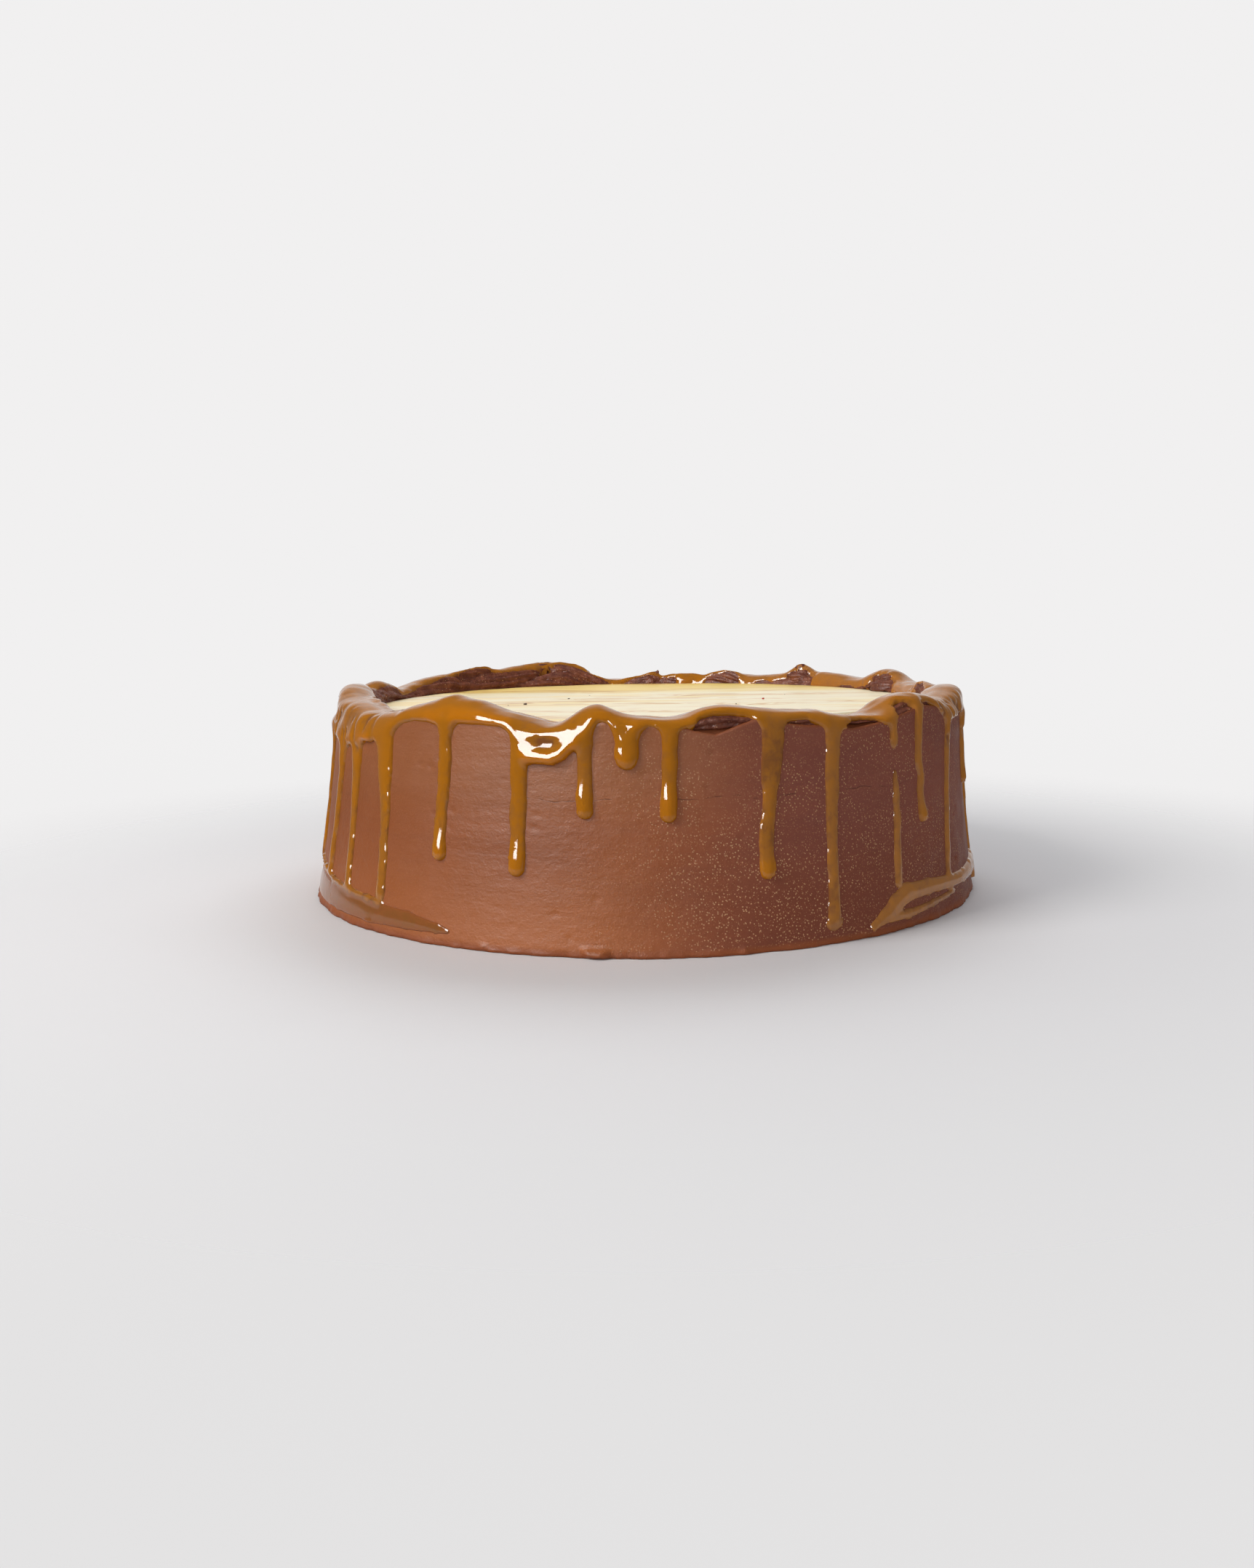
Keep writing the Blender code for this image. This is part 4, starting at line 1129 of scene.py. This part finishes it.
# threads in the cream: the level of the swirl that they follow, half width, colour
CREAM_THREADS = ((0.44, 0.050, (222, 174, 104)), (0.57, 0.038, (204, 146, 72)),
                 (0.505, 0.026, (216, 164, 98)))


def cream_look():
    """Pale cream, marbled with caramel along the way it was spread."""
    look = Look("cream", Specular_IOR_Level=0.4)
    back = look.axes(look.place)["Y"]
    wander = look.math("MULTIPLY_ADD", look.noise((46.0, 18.0, 9.0)), 56.0, back)
    look.base(look.step(wander, 60.0, 104.0), (255, 244, 212), (248, 218, 126))
    swirl = look.noise((80.0, 24.0, 12.0), 3.0, 0.5, 1.2)
    look.tint(look.step(swirl, 0.50, 0.64, 0.0, 0.6), (246, 218, 152))
    for level, wide, tone in CREAM_THREADS:
        away = look.math("ABSOLUTE", look.math("SUBTRACT", swirl, level))
        patch = look.step(look.noise((50.0 + 400.0 * wide, 18.0, 9.0)), 0.46, 0.64)
        threads = look.times(look.step(away, wide, 0.0), patch)
        look.tint(look.times(threads, 0.8), tone)
    look.bump(look.noise((30.0, 3.0, 4.0), 3.0), 0.35)
    return look.finish(look.step(swirl, 0.4, 0.7, 0.34, 0.5))


def crumb_look(name, dark, light):
    """A crumb's own colour, uneven and satin."""
    look = Look(name, Specular_IOR_Level=0.45)
    look.base(look.step(look.noise(0.6), 0.4, 0.6), dark, light)
    look.bump(look.noise(0.3), 0.05)
    return look.finish(look.step(look.noise(0.5), 0.4, 0.6, 0.4, 0.6))


# ---- the scene

ROOM_LIGHT = 0.15
WALL_LIGHT = 0.80
WALL_SPREAD = (0.65, 0.97)  # how far backwards a ray points where the room goes over into the wall
NEAR_LIGHT = 0.79
BACKDROP_LIGHT = 0.895
BACKDROP_SPREAD = (-0.5, -0.04)  # the same for how far up, as the camera sees it
ROOM_COLOUR = (253, 252, 252)
FLOOR_SIZE = 6.0
FLOOR_DROP = 0.0002
FLOOR_FADE = (125.0, 420.0)  # the floor melts into the backdrop between these radii
# softboxes: name, azimuth, elevation, distance, width, height, power, colour, if it shines;
# one that shines shows only as highlights, and the others never show so
SOFTBOXES = (
    ("key", -60.0, 36.0, 1.25, 0.50, 0.75, 10.5, (1.0, 0.97, 0.93), False),
    ("shine", -40.0, 32.0, 1.25, 0.62, 0.90, 38.0, (1.0, 1.0, 1.0), True),
    ("back", 165.0, 55.0, 1.6, 1.2, 0.8, 12.0, (1.0, 1.0, 1.0), False),
    ("fill", 24.0, 22.0, 1.6, 1.4, 1.0, 7.0, (0.96, 0.97, 1.0), False),
)
CAMERA_PLACE = (-6.5, -488.6, 100.7)
CAMERA_PITCH = 82.58
CAMERA_ROLL = -0.0141  # in radians


def dress(item, look, slot, *nodes):
    """Lean a piece as the solids lean, paint it, hang it under the root, and hide the solids it replaces.
    """
    points = mesh_points(item)
    points[:, 0] += LEAN * points[:, 2]
    move_points(item, points)
    item.data.materials.clear()
    item.data.materials.append(look)
    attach(item, "root")
    if nodes:
        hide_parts(*nodes)


def floor():
    """A plain pale floor that melts into the backdrop."""
    bpy.ops.mesh.primitive_plane_add(size=FLOOR_SIZE, location=(0.0, 0.0, -FLOOR_DROP))
    item = bpy.context.object
    item.name = "floor"
    look = Look("floor", Specular_IOR_Level=0.2)
    look.base(look.noise(300.0), (220, 220, 223), (224, 224, 227))
    away = look.node("VectorMath", {0: look.place}, operation="LENGTH").outputs["Value"]
    look.tree.links.new(look.step(away, *FLOOR_FADE, 1.0, 0.0), look.shader.inputs["Alpha"])
    look.bump(look.noise(2.0), 0.01)
    item.data.materials.append(look.finish(look.step(look.noise(50.0), 0.0, 1.0, 0.6, 0.7)))


def softbox(name, azimuth, elevation, distance, wide, high, power, colour, shines):
    """A softbox that faces the cake; azimuth 0 is the camera's side, left is negative."""
    turn = math.radians(azimuth)
    tilt = math.radians(elevation)
    place = distance * Vector((math.sin(turn) * math.cos(tilt), -math.cos(turn) * math.cos(tilt),
                               math.sin(tilt)))
    data = bpy.data.lights.new(name, "AREA")
    data.shape = "RECTANGLE"
    data.size = wide
    data.size_y = high
    data.energy = power
    data.color = colour
    item = placed(name, data)
    aim = Vector((0.0, 0.0, 0.5 * SIDE_TOP * MM)) - place
    item.rotation_euler = aim.to_track_quat("-Z", "Y").to_euler()
    item.location = place
    item.visible_glossy = shines
    item.visible_diffuse = not shines


def studio_world():
    """A white wall behind the cake and a darker room round the camera."""
    world = bpy.data.worlds.new("studio")
    bpy.context.scene.world = world
    world.use_nodes = True
    nodes = Nodes(world.node_tree)
    way = nodes.axes(nodes.node("TexCoord", {}).outputs["Generated"])
    room = nodes.step(way["Y"], *WALL_SPREAD, ROOM_LIGHT, WALL_LIGHT)
    backdrop = nodes.step(way["Z"], *BACKDROP_SPREAD, NEAR_LIGHT, BACKDROP_LIGHT)
    seen = nodes.node("LightPath", {}).outputs["Is Camera Ray"]
    strength = nodes.node("Mix", {0: seen, 2: room, 3: backdrop}).outputs[0]
    sky = nodes.tree.nodes["Background"]
    sky.inputs["Color"].default_value = paint(*ROOM_COLOUR)
    nodes.tree.links.new(strength, sky.inputs["Strength"])


def camera():
    """The photograph's view."""
    data = bpy.data.cameras.new("camera")
    data.lens = 27.55
    data.sensor_width = 36.0
    data.clip_start = 0.01
    item = placed("camera", data)
    pitch = Matrix.Rotation(math.radians(CAMERA_PITCH), 4, "X")
    roll = Matrix.Rotation(CAMERA_ROLL, 4, "Z")
    item.matrix_world = Matrix.Translation(Vector(CAMERA_PLACE) * MM) @ pitch @ roll
    bpy.context.scene.camera = item


def main():
    """Make every piece, then the floor, the light and the camera."""
    cake = frosting()
    ring = piping()
    sauce = caramel((cake, ring))
    dress(cake, frosting_look(), "frosting", "cake")
    dress(ring, piping_look(), "piping", "piped_border")
    dress(sauce, caramel_look(), "caramel", "caramel_drip")
    dress(cream(), cream_look(), "cream", "cream_top")
    dress(crumbs("crumbs", CRUMBS), crumb_look("crumb", (40, 22, 18), (70, 42, 34)), "piping")
    dress(crumbs("red_crumb", (RED_CRUMB,)), crumb_look("red", (170, 40, 26), (200, 60, 40)),
          "caramel")
    floor()
    studio_world()
    for sizes in SOFTBOXES:
        softbox(*sizes)
    camera()
    bpy.context.scene.view_settings.view_transform = "Standard"
    bpy.context.scene.view_settings.look = "None"


main()
